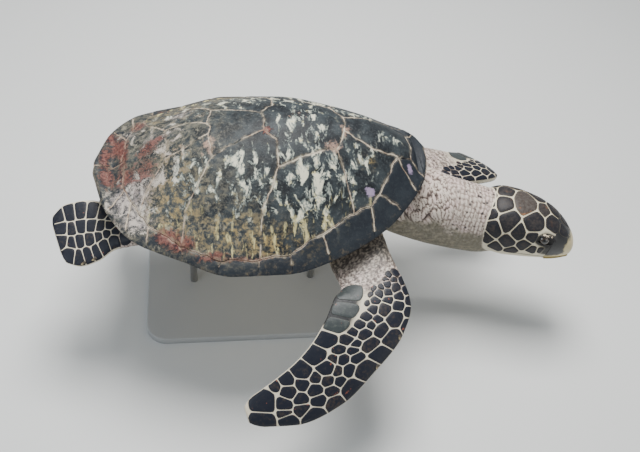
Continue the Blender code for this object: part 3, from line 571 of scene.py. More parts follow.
# The horn itself: dark and finely flecked, darker at the margin, scuffed where it is worn; then
# ochre, streaks and cream, the bloom, crusts and weed that grow on it, and last the sutures.
ochre_dark = (1 - margin * 0.6) * horn.step(mottle + fine * 0.3, 0.54, 0.80)
ochre_light = (1 - margin * 0.8) * horn.step(mottle + fine * 0.45, 0.72, 0.86)
body = horn.coats(
    (0.007, 0.009, 0.012),
    ((0.030, 0.038, 0.043), horn.step(cloud, 0.36, 0.66)),
    ((0.100, 0.112, 0.115), horn.step(fine + mottle * 0.35, 0.68, 0.92) * 0.60),
    ((0.19, 0.195, 0.17), horn.step(speck + worn * 0.08, 0.60, 0.74) * 0.42),
    ((0.012, 0.016, 0.023), margin * 0.72),
    ((0.175, 0.165, 0.125), worn * horn.step(mottle + fine * 0.4, 0.58, 0.86) * 0.9),
    ((0.34, 0.31, 0.23), worn * horn.step(blots + fine * 0.4, 0.74, 0.86) * 0.7),
    ((0.120, 0.100, 0.055), ochre * ochre_dark * 0.75),
    ((0.30, 0.215, 0.085), ochre * ochre_light * 0.9),
    ((0.56, 0.49, 0.23), low * streaks * (1 - margin) * 0.9),
    (blot_tint, blot_edge * horn.step(cream, 0.12, 0.45) * (1 - margin * 0.9)),
    ((0.25, 0.215, 0.23), horn.step(bloom * 0.6 + mottle + fine * 0.9, 1.32, 1.62) * 0.66),
    ((0.52, 0.46, 0.41), horn.step(bloom * 0.4 + blots + speck * 0.6, 1.12, 1.20) * 0.72),
    ((0.42, 0.26, 0.19), horn.step(crust * 0.6 + mottle + fine * 0.4, 1.14, 1.34) * 0.7),
    (weed_tint, weed_share * (0.55 + fine * 0.5)),
    ((0.33, 0.25, 0.38), horn.step(violet * 0.8 + mottle + speck * 0.5, 1.26, 1.46) * 0.85),
    ((0.34, 0.28, 0.19), halo * 0.35),
    (suture_tint, suture * horn.step(strength, 0.34, 0.56) * 0.9),
    ((0.16, 0.12, 0.070), brink * horn.step(mottle + fine * 0.4, 0.74, 0.98) * 0.7))
horn.feed(Base_Color=body, Roughness=horn.step(fine, 0.2, 0.8) * 0.24 + 0.42,
          Specular_IOR_Level=0.28)
horn.bump(speck * 0.25 + fine * 0.5 + cloud + weed_share * 0.8 + blot_edge * 0.15, 0.0012)


def vertebral_outlines():
    halves = [["nuchal_mid", "nuchal_v1", "v1_front", "v1_waist", "v1_v2_c1", "v1_v2"],
              ["v1_v2", "v1_v2_c1", "v2_c1_c2", "v2_c2", "v2_c2_c3", "v2_c3", "v2_v3_c3", "v2_v3"],
              ["v2_v3", "v2_v3_c3", "v3_c3", "v3_c3_c4", "v3_v4_c4", "v3_v4"],
              ["v3_v4", "v3_v4_c4", "v4_c4", "v4_v5_c4", "v4_v5"],
              ["v4_v5", "v4_v5_c4", "v5_c4", MARGIN_BENDS[10]] + MARGIN[10:]]
    return [line_of(half, -1) + line_of(half[-2:0:-1], 1) for half in halves]


def costal_outlines(side):
    m = MARGIN
    outlines = [["v1_front", m[2], m[3], MARGIN_BENDS[4], "v2_c1_c2", "v1_v2_c1", "v1_waist"],
                ["v2_c1_c2", MARGIN_BENDS[4], m[4], m[5], m[6], "c2_c3", "v2_c2_c3", "v2_c2"],
                ["v2_v3_c3", "v2_c3", "v2_c2_c3", "c2_c3", m[6], m[7], m[8], "c3_c4", "v3_c3_c4",
                 "v3_c3"],
                ["v3_v4_c4", "v3_c3_c4", "c3_c4", m[8], m[9], MARGIN_BENDS[10], "v5_c4",
                 "v4_v5_c4", "v4_c4"]]
    return [line_of(names, side) for names in outlines]


def margin_outline(i, side):
    """Plate i of the margin, from the parting before it to its own; 12 is the supracaudal."""
    before, after = MARGIN[i - 1], MARGIN[i]
    bend = [(s, 1) for s in np.linspace(before[2], after[2], 14)]
    tail = [(1, 0)] if i == len(MARGIN) - 1 else []
    inner = [after] + ([MARGIN_BENDS[i]] if i in MARGIN_BENDS else []) + [before]
    return line_of(bend + tail + inner, side)


def lay(name, corners, margin=0):
    """Makes the plate that stands for the CAD plate of the same name."""
    slot = "marginal_horn" if margin else "carapace_horn"
    ready(horn_plate(name, corners, margin), slot, name)


for i, corners in enumerate(vertebral_outlines(), 1):
    lay(f"vertebral_{i}", corners)
for side, word in ((1, "left"), (-1, "right")):
    for i, corners in enumerate(costal_outlines(side), 1):
        lay(f"costal_{word}_{i}", corners)
    for i in range(1, len(MARGIN)):
        name = f"marginal_{word}_{i}" if i < len(MARGIN) - 1 else f"supracaudal_{word}"
        lay(name, margin_outline(i, side), 1)
front = [(s, 1) for s in np.linspace(MARGIN[0][2], 0, 6)]
nuchal = line_of([MARGIN[0]] + front, 1) + line_of(front[-2::-1] + [MARGIN[0]], -1)
lay("nuchal", nuchal + line_of(["nuchal_mid"], 1), 1)

# ---- Plastron -----------------------------------------------------------------------------------
# The belly's horn: six pairs of pale yellow plates over one bony shield, bent up at the bridges,
# with shallow grooves where the plates meet.
PLASTRON_AT = [0.115, 0.13, 0.20, 0.32, 0.48, 0.62, 0.74, 0.83, 0.865]
PLASTRON_SHARE = [0.02, 0.30, 0.52, 0.80, 0.83, 0.80, 0.52, 0.30, 0.05]
BELLY_PARTINGS = [0.155, 0.235, 0.345, 0.49, 0.625, 0.745]
BELLY_GROOVE = 0.0012
BELLY_THICKNESS = 0.0040
BRIDGE_ASIDE = 0.62           # where a groove runs along each bridge: share of the half-width
BRIDGE_SPAN = (0.24, 0.70)    # and from where to where: share of the length

rows = np.linspace(PLASTRON_AT[0] + 0.0006, PLASTRON_AT[-1] - 0.0006, 150)
across = np.sin(np.linspace(-math.pi / 2, math.pi / 2, 91))
reach = smooth(PLASTRON_AT, PLASTRON_SHARE, rows) * half_width(rows)
x = np.repeat(CARAPACE_LENGTH * (0.5 - rows), len(across))
y = np.outer(reach, across).ravel()
flat = np.stack([x, y], 1)
s = np.repeat(rows, len(across)) + 0.02 * (np.abs(y) / CARAPACE_WIDTH * 4) ** 2
s = s + 0.002 * grain(flat, 0.02, 11)
groove = np.min([np.abs(s - p) * CARAPACE_LENGTH for p in BELLY_PARTINGS], 0)
bridge = np.abs(np.abs(y) - BRIDGE_ASIDE * CARAPACE_WIDTH / 2 - 0.003 * grain(flat, 0.03, 12))
groove = np.minimum(groove, np.abs(y + 0.002 * grain(flat, 0.03, 13)))
groove = np.minimum(groove, np.where((s > BRIDGE_SPAN[0]) & (s < BRIDGE_SPAN[1]), bridge, 1))
lift = BELLY_GROOVE * (1 - ramp(groove, 0.0004, 0.0030)) + 0.0003 * (1 + grain(flat, 0.012, 14)) / 2
z = body_underside(x, y)
low = np.column_stack([x, y, z + lift + RIM_HEIGHT])
high = np.column_stack([x, y, z + BELLY_THICKNESS + RIM_HEIGHT])
n, half = len(across), len(x)
i, j = np.divmod(np.arange((len(rows) - 1) * (n - 1)), n - 1)
cells = np.stack([i * n + j, i * n + j + 1, (i + 1) * n + j + 1, (i + 1) * n + j], 1)
last = (len(rows) - 1) * n
rim = np.concatenate([np.arange(n), np.arange(1, len(rows)) * n + n - 1,
                      last + np.arange(n - 2, -1, -1), np.arange(len(rows) - 2, 0, -1) * n])
wall = np.stack([rim, rim + half, np.roll(rim, -1) + half, np.roll(rim, -1)], 1)
belly = Finish("belly_horn", Roughness=0.42)
here = belly.spot()
cloud, fine = belly.noise(here, 22.0, 4.0, 0.6), belly.noise(here, 300.0, 3.0, 0.7)
seam = 1 - belly.step(belly.layer("edge"), 0.8, 2.6)
belly.feed(Base_Color=belly.coats((0.66, 0.55, 0.33), ((0.76, 0.68, 0.50), belly.step(cloud, 0.38, 0.66)),
                                  ((0.42, 0.33, 0.19), belly.step(fine, 0.55, 0.75) * 0.4),
                                  ((0.33, 0.24, 0.13), seam * 0.7)))
belly.bump(fine * 0.5 + cloud, 0.0008)
plate = mesh_piece("plastron_horn", np.concatenate([low, high]),
                   [np.concatenate([cells, (cells + half)[:, ::-1], wall])], belly, None,
                   {"edge": np.tile(groove * 1000, 2)})
ready(plate, "plastron_horn", "plastron")

# ---- Display stand ------------------------------------------------------------------------------
# A flat base of grey painted board with eased edges, and two brushed steel rods that stand in it
# and end against the plastron.
BASE_SIZE = (0.50, 0.32, 0.018)
BASE_CORNER = 0.045
BASE_EASE = 0.003
FOOT_EASE = 0.0006
BASE_SIDES = 12               # points round each corner of the base
ROD_SIDES = 48
ROD_RADIUS = 0.008
ROD_PLACES = {"front": 0.125, "rear": -0.145}


def tube(rings, count):
    """Quads of closed rings of count points, the triangles of a fan at each end, and their places
    on the unrolled tube, both ways from 0 to 1. The two fan centres come last among the points."""
    quads = ring_quads(rings, count)
    i, j = np.divmod(np.arange(len(quads)), count)
    steps = ((i, j), (i, j + 1), (i + 1, j + 1), (i + 1, j))
    quad_uv = np.stack([np.stack([a / (rings - 1), b / count], 1) for a, b in steps], 1)
    j = np.arange(count)
    k = (j + 1) % count
    first, last = rings * count, (rings - 1) * count
    near = np.stack([np.full(count, first), k, j], 1)
    far = np.stack([np.full(count, first + 1), last + j, last + k], 1)
    near_uv = np.stack([np.stack([0 * j, a / count], 1) for a in (j + 0.5, j + 1, j)], 1)
    far_uv = np.stack([np.stack([0 * j + 1, a / count], 1) for a in (j + 0.5, j, j + 1)], 1)
    return [quads, np.concatenate([near, far])], [quad_uv, np.concatenate([near_uv, far_uv])]


def capped(rings):
    """Ring points (m, n, 3) as one list, with the middles of both end rings added."""
    return np.concatenate([rings.reshape(-1, 3), rings[:1].mean(1), rings[-1:].mean(1)])


def turned(levels, outline):
    """Rings up a straight stand: at each (height, inset) the outline drawn in by the inset."""
    x, y = outline
    return np.stack([np.stack([x - np.sign(x) * back, y - np.sign(y) * back, 0 * x + z], 1)
                     for z, back in levels])


corner = np.linspace(0, math.pi / 2, BASE_SIDES)
turns = np.concatenate([corner + k * math.pi / 2 for k in range(4)])
right, far = (np.repeat(signs, BASE_SIDES) for signs in ([1, -1, -1, 1], [1, 1, -1, -1]))
base_outline = (right * (BASE_SIZE[0] / 2 - BASE_CORNER) + BASE_CORNER * np.cos(turns),
                far * (BASE_SIZE[1] / 2 - BASE_CORNER) + BASE_CORNER * np.sin(turns))
easing = np.linspace(0, math.pi / 2, 6)
levels = [(0, FOOT_EASE), (FOOT_EASE, 0)]
levels += zip(BASE_SIZE[2] - BASE_EASE + BASE_EASE * np.sin(easing), BASE_EASE * (1 - np.cos(easing)))
board = Finish("stand_board", Base_Color=(0.42, 0.425, 0.42))
board.feed(Roughness=board.noise(board.spot(), 60.0) * 0.2 + 0.38)
rings = turned(levels, base_outline)
faces, _ = tube(len(rings), len(turns))
ready(mesh_piece("stand_base_board", capped(rings), faces, board), "stand_paint", "stand_base")

steel = Finish("stand_steel", Base_Color=(0.60, 0.60, 0.59), Metallic=1.0, Roughness=0.3)
brushed = steel.node("Mapping", None, {"Vector": steel.spot(), "Scale": (1.0, 1.0, 0.06)})
steel.bump(steel.noise(brushed, 900.0), 0.0002)

for word, x in ROD_PLACES.items():
    a = np.linspace(0, 2 * math.pi, ROD_SIDES, endpoint=False)
    top = float(body_underside(np.array([x]), np.array([0.0]))[0]) + RIM_HEIGHT + GAP
    rings = turned([(BASE_SIZE[2] + GAP, 0), (top, 0)],
                   (ROD_RADIUS * np.cos(a), ROD_RADIUS * np.sin(a))) + np.array([x, 0, 0])
    faces, _ = tube(2, ROD_SIDES)
    ready(mesh_piece(f"stand_rod_{word}_bar", capped(rings), faces, steel), "stand_steel",
          f"stand_rod_{word}")

# ---- Skin ---------------------------------------------------------------------------------------
# One skin over trunk, neck, head, limbs and tail: soft, loose and creased at the neck and the
# shoulders, tight over the flippers and the skull. The parts are lofts that are joined into one
# closed surface, eased where they meet, then creased.
SKIN_DEPTH = 0.0010           # how far the skin lies inside the solids, under its plates
NECK_PATH = [(0.235, 0.0, -0.045), (0.30, -0.012, -0.065), (0.380, -0.028, -0.091),
             (0.468, -0.046, -0.106), (0.545, -0.068, -0.112)]
NECK_HALF_WIDTH = [0.085, 0.081, 0.067, 0.062, 0.042]
NECK_HALF_HEIGHT = [0.055, 0.077, 0.086, 0.082, 0.046]
HEAD_BACK = Vector((0.467, -0.044, -0.074 + RIM_HEIGHT))
HEAD_TURN = math.radians(-19)
HEAD_PITCH = math.radians(8)
HEAD_LENGTH = 0.209
HEAD_AT = [0, 0.04, 0.15, 0.30, 0.45, 0.60, 0.72, 0.83, 0.92, 0.975, 1]
HEAD_TOP = [0.036, 0.047, 0.057, 0.060, 0.058, 0.051, 0.040, 0.025, 0.009, -0.006, -0.020]
HEAD_BOTTOM = [-0.060, -0.074, -0.083, -0.082, -0.075, -0.066, -0.058, -0.051, -0.045, -0.039, -0.032]
HEAD_HALF_WIDTH = [0.044, 0.058, 0.066, 0.067, 0.064, 0.059, 0.053, 0.043, 0.031, 0.020, 0.008]
HEAD_SQUARE = 2.3
MOUTH_LEVEL = -0.031
BEAK_FROM = 0.150
EYE_PLACE = (0.130, 0.0430, 0.0145)
EYE_RADIUS = 0.0135
# Each row of a limb: the leading edge, the trailing edge, half of the thickness.
LIMBS = {
    "front_right": [((0.233, -0.099, -0.048), (0.111, -0.121, -0.052), 0.034),
                    ((0.246, -0.171, -0.059), (0.126, -0.195, -0.069), 0.030),
                    ((0.261, -0.227, -0.066), (0.138, -0.237, -0.072), 0.024),
                    ((0.271, -0.275, -0.082), (0.122, -0.264, -0.066), 0.019),
                    ((0.248, -0.331, -0.103), (0.102, -0.303, -0.077), 0.016),
                    ((0.190, -0.385, -0.139), (0.076, -0.336, -0.100), 0.014),
                    ((0.128, -0.426, -0.178), (0.046, -0.361, -0.121), 0.012),
                    ((0.043, -0.450, -0.202), (0.004, -0.385, -0.144), 0.009),
                    ((-0.046, -0.447, -0.207), (-0.058, -0.412, -0.176), 0.006)],
    "front_left": [((0.200, 0.064, -0.049), (0.145, 0.150, -0.041), 0.034),
                   ((0.250, 0.076, -0.070), (0.240, 0.178, -0.056), 0.030),
                   ((0.341, 0.072, -0.087), (0.345, 0.163, -0.080), 0.024),
                   ((0.448, 0.056, -0.099), (0.434, 0.162, -0.103), 0.019),
                   ((0.553, 0.104, -0.136), (0.476, 0.178, -0.126), 0.015),
                   ((0.556, 0.176, -0.188), (0.436, 0.200, -0.166), 0.012),
                   ((0.490, 0.246, -0.248), (0.396, 0.218, -0.212), 0.009),
                   ((0.402, 0.275, -0.281), (0.366, 0.249, -0.259), 0.006)],
    "hind_right": [((-0.182, -0.121, -0.042), (-0.198, -0.049, -0.028), 0.028),
                   ((-0.242, -0.132, -0.050), (-0.248, -0.056, -0.026), 0.024),
                   ((-0.288, -0.136, -0.059), (-0.292, -0.052, -0.021), 0.016),
                   ((-0.320, -0.152, -0.072), (-0.340, -0.042, -0.016), 0.010),
                   ((-0.354, -0.159, -0.079), (-0.386, -0.047, -0.021), 0.008),
                   ((-0.388, -0.150, -0.075), (-0.416, -0.072, -0.035), 0.006)],
    "hind_left": [((-0.175, 0.119, -0.042), (-0.205, 0.051, -0.028), 0.028),
                  ((-0.215, 0.140, -0.057), (-0.257, 0.068, -0.043), 0.024),
                  ((-0.240, 0.162, -0.072), (-0.292, 0.082, -0.080), 0.016),
                  ((-0.257, 0.189, -0.093), (-0.311, 0.091, -0.123), 0.010),
                  ((-0.273, 0.206, -0.124), (-0.319, 0.110, -0.160), 0.008),
                  ((-0.287, 0.204, -0.158), (-0.319, 0.140, -0.182), 0.006)],
}
LEAD_SIGN = {"front_right": 1, "front_left": -1, "hind_right": 1, "hind_left": -1}
TAIL_PATH = [(-0.235, 0.0, -0.030), (-0.275, 0.0, -0.040), (-0.305, 0.0, -0.052),
             (-0.330, 0.0, -0.068)]
TAIL_HALF_WIDTH = [0.030, 0.024, 0.015, 0.003]
CORE_SIDE = 0.93
TRUNK_SPAN = (0.025, 0.975)   # share of the carapace's length that the trunk fills
TIP_FROM = 0.955              # a limb's tip is rounded off from here
TIP_SPAN = 0.052
LIMB_GRID = {"front_right": (170, 84), "front_left": (160, 76), "hind_right": (80, 70),
             "hind_left": (80, 70)}   # rings along the limb, points round it
LIMB_END = 0.995              # the last ring of a limb, just short of its tip
JOIN_ROUNDS = 40              # how often the joins between lofts are smoothed
JOIN_SPREAD = 11              # and how many edges away from a join
NECK_WAY = np.array([0.975, -0.19, -0.11])   # along the neck, towards the head
NECK_ROOT = 0.235             # where the neck leaves the shell, and how far it swerves per metre
NECK_SWERVE = 0.2
NECK_MIDDLE = 0.275           # height of its middle line
NECK_RADIUS = 0.075
FOLD_WAY = (0.86, 0.42)       # the folds' course: share along the neck, share round it
ROW_SPACING = 0.0092          # of the scales behind the head
ROW_CELL = 0.0070
FOLD_CELL = 0.0056            # of the loose skin nearer the shell
WRINKLE_CELL = 0.0062         # of the limbs and the trunk
WRINKLE_SPACING = 0.011
NECK_RELIEF = 0.0022          # depth of the creases
FOLD_RELIEF = 0.0010          # added to the neck's relief in the folds
LIMB_RELIEF = 0.0013
BARE_UNTIL = [0.37, 0.47, 0.40]   # end of the loose skin: front right, front left, hind limbs
LOBES_RIGHT = (0.31, 0.545)   # where each front limb's trailing edge bears its lobes, painted dark between them as shade
LOBES_LEFT = (0.45, 0.625)
ORBIT_DEPTH = 0.0042
MOUTH_DEPTH = 0.0022
LID_SPREAD = 1.85             # the dark skin round an eye is this much longer than high
# Squares of the unwrap, one for each loft: column and row in a grid of three by three.
TILES = {"trunk": (0, 0), "neck": (1, 0), "head": (2, 0), "front_right": (0, 1),
         "front_left": (1, 1), "hind_right": (2, 1), "hind_left": (0, 2), "tail": (1, 2)}
TILE_SPAN = 0.32


def on_tile(part, uv):
    """Places on the unrolled loft, 0 to 1 both ways, moved to that loft's own square."""
    corner = np.array(TILES[part]) / 3 + (1 / 3 - TILE_SPAN) / 2
    return corner + uv * TILE_SPAN


def unit(vectors):
    return vectors / np.linalg.norm(vectors, axis=-1, keepdims=True)


def read_path(points, u):
    """A smooth path through evenly spaced points, read at the shares u of its course."""
    knots = np.linspace(0, 1, len(points))
    points = np.array(points, float)
    return np.stack([smooth(knots, points[:, k], u) for k in range(points.shape[1])], -1)


def limb_frame(limb, u):
    """Centre, leading way, upper way, half chord and half thickness of a limb at the shares u.
    The chord is drawn in along a quarter ellipse at the tip."""
    rows = LIMBS[limb]
    front, back = read_path([r[0] for r in rows], u), read_path([r[1] for r in rows], u)
    middles = (np.array([r[0] for r in rows]) + np.array([r[1] for r in rows])) / 2
    ahead = read_path(middles, np.clip(u + 0.02, 0, 1))
    tangent = unit(ahead - read_path(middles, np.clip(u - 0.02, 0, 1)))
    lead = unit(front - back)
    normal = unit(np.cross(tangent, lead)) * LEAD_SIGN[limb]
    tip = np.sqrt(np.clip(1 - ((u - TIP_FROM) / TIP_SPAN).clip(0) ** 2, 0.02, 1))
    chord = np.linalg.norm(front - back, axis=1) / 2 * tip
    thick = smooth(np.linspace(0, 1, len(rows)), [r[2] for r in rows], u) * (0.4 + 0.6 * tip)
    return (front + back) / 2 + np.array([0, 0, RIM_HEIGHT]), lead, normal, chord, thick


def limb_point(limb, u, v, face, lift=0.0):
    """A point of a limb: v from 1 at the leading edge to -1 at the trailing edge, face 1 above and
    -1 below; the thickness follows (1 - v^2)^0.4, fuller in front. lift is how far it stands off
    the solid's surface."""
    centre, lead, normal, chord, thick = limb_frame(limb, u)
    body = face * np.clip(1 - v * v, 0, 1) ** 0.4 * (0.72 + 0.28 * v)
    return (centre + lead * ((chord + lift) * v)[:, None]
            + normal * ((thick + lift) * body)[:, None])


def oval_rings(path, half_widths, half_heights, rings, sides):
    """Oval sections along a path, their height upright."""
    u = np.linspace(0, 1, rings)
    knots = np.linspace(0, 1, len(path))
    centre = read_path(path, u) + np.array([0, 0, RIM_HEIGHT])
    tangent = unit(np.gradient(centre, axis=0))
    high = unit(np.array([0, 0, 1.0]) - tangent * tangent[:, 2:])
    wide = np.cross(high, tangent)
    a = np.linspace(0, 2 * math.pi, sides, endpoint=False)
    w = smooth(knots, half_widths, u) - SKIN_DEPTH
    h = smooth(knots, half_heights, u) - SKIN_DEPTH
    return (centre[:, None] + wide[:, None] * (w[:, None] * np.cos(a))[..., None]
            + high[:, None] * (h[:, None] * np.sin(a))[..., None])


def head_frame():
    turn = Matrix.Rotation(HEAD_TURN, 4, "Z") @ Matrix.Rotation(HEAD_PITCH, 4, "Y")
    return np.array(Matrix.Translation(HEAD_BACK) @ turn)


def head_local(x, turn, lift=0.0):
    """The head's form in its own frame: a superellipse section at x, read at the angle turn from
    the crown, positive to the animal's left."""
    q = x / HEAD_LENGTH
    top, bottom = smooth(HEAD_AT, HEAD_TOP, q), smooth(HEAD_AT, HEAD_BOTTOM, q)
    wide, high = smooth(HEAD_AT, HEAD_HALF_WIDTH, q) + lift, (top - bottom) / 2 + lift
    side, up = np.sin(turn), np.cos(turn)
    reach = np.abs(side / wide) ** HEAD_SQUARE + np.abs(up / high) ** HEAD_SQUARE
    reach = reach ** (-1 / HEAD_SQUARE)
    return np.stack([x + 0 * turn, reach * side, (top + bottom) / 2 + reach * up], -1)


def from_head(points):
    frame_of_head = head_frame()
    return points @ frame_of_head[:3, :3].T + frame_of_head[:3, 3]


def trunk_rings(rings, quarter):
    """Sections of the body under its horn: out over the top, back along the underside, mirrored."""
    turns = np.linspace(0, 1, rings)
    begin, end = TRUNK_SPAN
    s = begin + (end - begin) * (0.45 * (1 - np.cos(math.pi * turns)) / 2 + 0.55 * turns)
    x = CARAPACE_LENGTH * (0.5 - s)
    side = half_width(s) * CORE_SIDE
    out = np.sin(np.linspace(0, math.pi / 2, quarter))
    t = np.concatenate([out, out[-2::-1]])
    t[0], t[-1] = 0, 0
    y = side[:, None] * t
    xs = np.repeat(x[:, None], len(t), 1)
    top = shell_top(xs, y) - HORN_THICKNESS - 0.0005
    low = body_underside(xs, y)
    station, aside = shares_of(xs, y)
    inside = (station > PLASTRON_AT[0]) & (station < PLASTRON_AT[-1])
    covered = inside & (aside < smooth(PLASTRON_AT, PLASTRON_SHARE, station) + 0.03)
    low = low + np.where(covered, BELLY_THICKNESS * 0.8, SKIN_DEPTH + 0.0012)
    low = np.minimum(low, top - 0.001)
    is_top = np.arange(len(t)) < quarter
    z = np.where(is_top, top, low) + RIM_HEIGHT
    half = np.stack([xs, y, z], -1)
    mirror = half[:, -2:0:-1] * np.array([1, -1, 1])
    return np.concatenate([half, mirror], 1)


def loft_piece(part, rings):
    faces, uv = tube(*rings.shape[:2])
    return mesh_piece("skin_" + part, capped(rings), faces, skin, [on_tile(part, p) for p in uv])


def limb_rings(limb, rings, sides):
    a = np.linspace(0, 2 * math.pi, sides, endpoint=False)
    u = np.repeat(np.linspace(0, LIMB_END, rings), sides)
    v = np.tile(np.cos(a), rings)
    face = np.tile(np.sign(np.sin(a)) * (np.abs(np.sin(a)) > 1e-9), rings)
    return limb_point(limb, u, v, face, -SKIN_DEPTH).reshape(rings, sides, 3)


SKIN_PALE = (0.64, 0.56, 0.48)
SKIN_HOLLOW_AND_SHADE = (0.29, 0.23, 0.195)
SKIN_CREASE_AND_SHADE = (0.070, 0.050, 0.045)
SKIN_SPECK = (0.035, 0.030, 0.032)
SKIN_BELLY_AND_SHADE = (0.115, 0.105, 0.072)
SKIN_DUSKY = (0.055, 0.050, 0.045)
SEAM_CREAM = (0.66, 0.60, 0.45)

skin = Finish("skin_soft", Specular_IOR_Level=0.35)
spot = skin.spot()
raised, rows, bare = map(skin.layer, ("height", "rows", "bare"))
mottle = skin.noise(spot, 260.0, 3.0)
# The colour follows the relief: darker down into the hollows and darkest in the creases. This is partly
# the skin's own darker ground between its scales and partly painted shade.
relief = raised + mottle * 0.3 - 0.15
flesh = skin.blend(SKIN_PALE, (0.68, 0.54, 0.50), skin.step(skin.noise(spot, 34.0, 4.0), 0.42, 0.66))
flesh = skin.blend(SKIN_HOLLOW_AND_SHADE, flesh, skin.step(relief, 0.40, 0.92))
flesh = skin.blend(SKIN_CREASE_AND_SHADE, flesh, skin.step(relief, 0.08, 0.42))
specked = skin.step(skin.cells(spot, 150.0) + skin.noise(spot, 60.0) * 0.9, 0.66, 0.52)
specked = specked * skin.step(skin.noise(spot, 25.0), 0.38, 0.62)
dots = skin.step(skin.cells(spot, 76.0), 0.27, 0.18)
limb_specks = skin.step(skin.cells(spot, 210.0, 0.9), 0.52, 0.36) * skin.layer("limb") * bare
shaded = skin.blend(SKIN_DUSKY, (0.30, 0.26, 0.21), skin.step(raised * 0.5 + mottle * 0.7, 0.55, 0.9))
dapple = skin.step(skin.noise(spot, 90.0, 4.0), 0.44, 0.66)
# The neck's underside: an olive tint of its own, and darker as painted shade where the skin faces down.
underside = skin.blend(SKIN_BELLY_AND_SHADE, (0.22, 0.195, 0.135), dapple)
colour = skin.coats(
    flesh,
    (SKIN_SPECK, specked * rows * 0.85),
    (SKIN_SPECK, dots * rows * 0.9),
    (SKIN_SPECK, limb_specks * 0.62),
    (shaded, skin.layer("shaded")),
    (SEAM_CREAM, (1 - bare) * skin.step(mottle, 0.2, 0.5) * 0.9),
    (SEAM_CREAM, skin.layer("head")),
    # painted shade: near-black skin between the lobes of the front limbs
    ((0.016, 0.017, 0.019), skin.layer("lobed")),
    # olive underside of the neck, partly painted shade
    (underside, skin.layer("belly") * skin.layer("neck") * 0.92),
    ((0.035, 0.03, 0.028), skin.layer("mouth") * 0.9),
    ((0.018, 0.018, 0.020), skin.layer("orbit") * 0.97))
skin.feed(Base_Color=colour, Roughness=skin.step(mottle, 0.2, 0.9) * 0.2 + 0.42)
skin.bump(skin.noise(spot, 520.0, 2.0) * 0.6 + mottle * 0.4, 0.0007)

head_x = np.linspace(0.001, HEAD_LENGTH - 0.003, 118)
head_turns = np.linspace(-math.pi, math.pi, 180, endpoint=False)
head_rings = from_head(head_local(*np.meshgrid(head_x, head_turns, indexing="ij"), -SKIN_DEPTH))
neck_rings = oval_rings(NECK_PATH, NECK_HALF_WIDTH, NECK_HALF_HEIGHT, 140, 190)
tail_rings = oval_rings(TAIL_PATH, TAIL_HALF_WIDTH, [0.9 * w for w in TAIL_HALF_WIDTH], 50, 40)
lofts = [loft_piece("trunk", trunk_rings(100, 26)), loft_piece("neck", neck_rings),
         loft_piece("head", head_rings)]
lofts += [loft_piece(limb, limb_rings(limb, *grid)) for limb, grid in LIMB_GRID.items()]
lofts.append(loft_piece("tail", tail_rings))
group = bpy.data.collections.new("lofts")
for loft in lofts[1:]:
    group.objects.link(loft)
joiner = lofts[0].modifiers.new("union", "BOOLEAN")
joiner.operation, joiner.solver = "UNION", "EXACT"
joiner.operand_type, joiner.collection = "COLLECTION", group
union = lofts[0].evaluated_get(bpy.context.evaluated_depsgraph_get())
joined = bpy.data.meshes.new_from_object(union)
for loft in lofts:
    bpy.data.objects.remove(loft)


def read_mesh(mesh):
    """Points, the corners and sizes of the faces, the unwrap's corners and the edges."""
    points = np.empty(len(mesh.vertices) * 3, np.float32)
    mesh.vertices.foreach_get("co", points)
    corners = np.empty(len(mesh.loops), np.int32)
    mesh.loops.foreach_get("vertex_index", corners)
    sizes = np.empty(len(mesh.polygons), np.int32)
    mesh.polygons.foreach_get("loop_total", sizes)
    uv = np.empty(len(mesh.loops) * 2, np.float32)
    mesh.uv_layers["OFBake"].data.foreach_get("uv", uv)
    edges = np.empty(len(mesh.edges) * 2, np.int32)
    mesh.edges.foreach_get("vertices", edges)
    points, uv, edges = points.reshape(-1, 3).astype(float), uv.reshape(-1, 2), edges.reshape(-1, 2)
    return points, corners, sizes, uv, edges


def neighbour_mean(values, edges):
    """Each point's mean over the points that an edge joins to it."""
    a, b = np.concatenate([edges, edges[:, ::-1]]).T
    count = np.bincount(a, minlength=len(values))
    columns = values.reshape(len(values), -1)
    total = np.stack([np.bincount(a, c[b], len(values)) for c in columns.T], 1)
    return (total / count[:, None]).reshape(values.shape)


def eased_joins(points, edges, meets):
    """Laplacian smoothing that fades with the distance from the points where lofts meet."""
    near = meets.astype(float)
    for _ in range(JOIN_SPREAD):
        near = np.maximum(near, neighbour_mean(near, edges))
    share = ramp(near, 0.0, 0.5)
    for _ in range(JOIN_ROUNDS):
        points = points + (neighbour_mean(points, edges) - points) * (0.8 * share)[:, None]
    return points


def point_normals(points, corners, sizes):
    """Mean of the adjoining faces' normals, by area."""
    starts = np.cumsum(sizes) - sizes
    normals = np.zeros_like(points)
    for k in range(1, int(sizes.max()) - 1):
        has = sizes > k + 1
        a, b, c = (corners[starts[has] + n] for n in (0, k, k + 1))
        face = np.cross(points[b] - points[a], points[c] - points[a])
        for v in (a, b, c):
            normals += np.stack([np.bincount(v, f, len(points)) for f in face.T], 1)
    return unit(normals + 1e-20)


def creased(phase, round_off=0.55):
    """Rounded ridges with narrow creases between them, one for each unit of phase: |sin|^0.55."""
    return np.abs(np.sin(math.pi * phase)) ** round_off


def pebbles(places, size, seed):
    """Rounded cells of loose skin: how far each place lies inside its nearest cell, from 0 at the
    crease to 1, for jittered cell centres."""
    p = places / size + 91.3 * seed + 300
    cell = np.floor(p).astype(np.int64)
    first, second = np.full(len(p), 9.0), np.full(len(p), 9.0)
    for step in np.ndindex((3,) * p.shape[1]):
        corner = cell + np.array(step) - 1
        key = cell_key(corner)
        centre = corner + 0.5
        for k in range(p.shape[1]):
            key = stirred(key)
            centre[:, k] += 0.72 * ((key >> 8) % 65536 / 65535 - 0.5)
        away = np.linalg.norm(p - centre, axis=1)
        second = np.minimum(second, np.maximum(first, away))
        first = np.minimum(first, away)
    return ramp(second - first, 0.0, 0.34)


points, corners, sizes, uv, edges = read_mesh(joined)
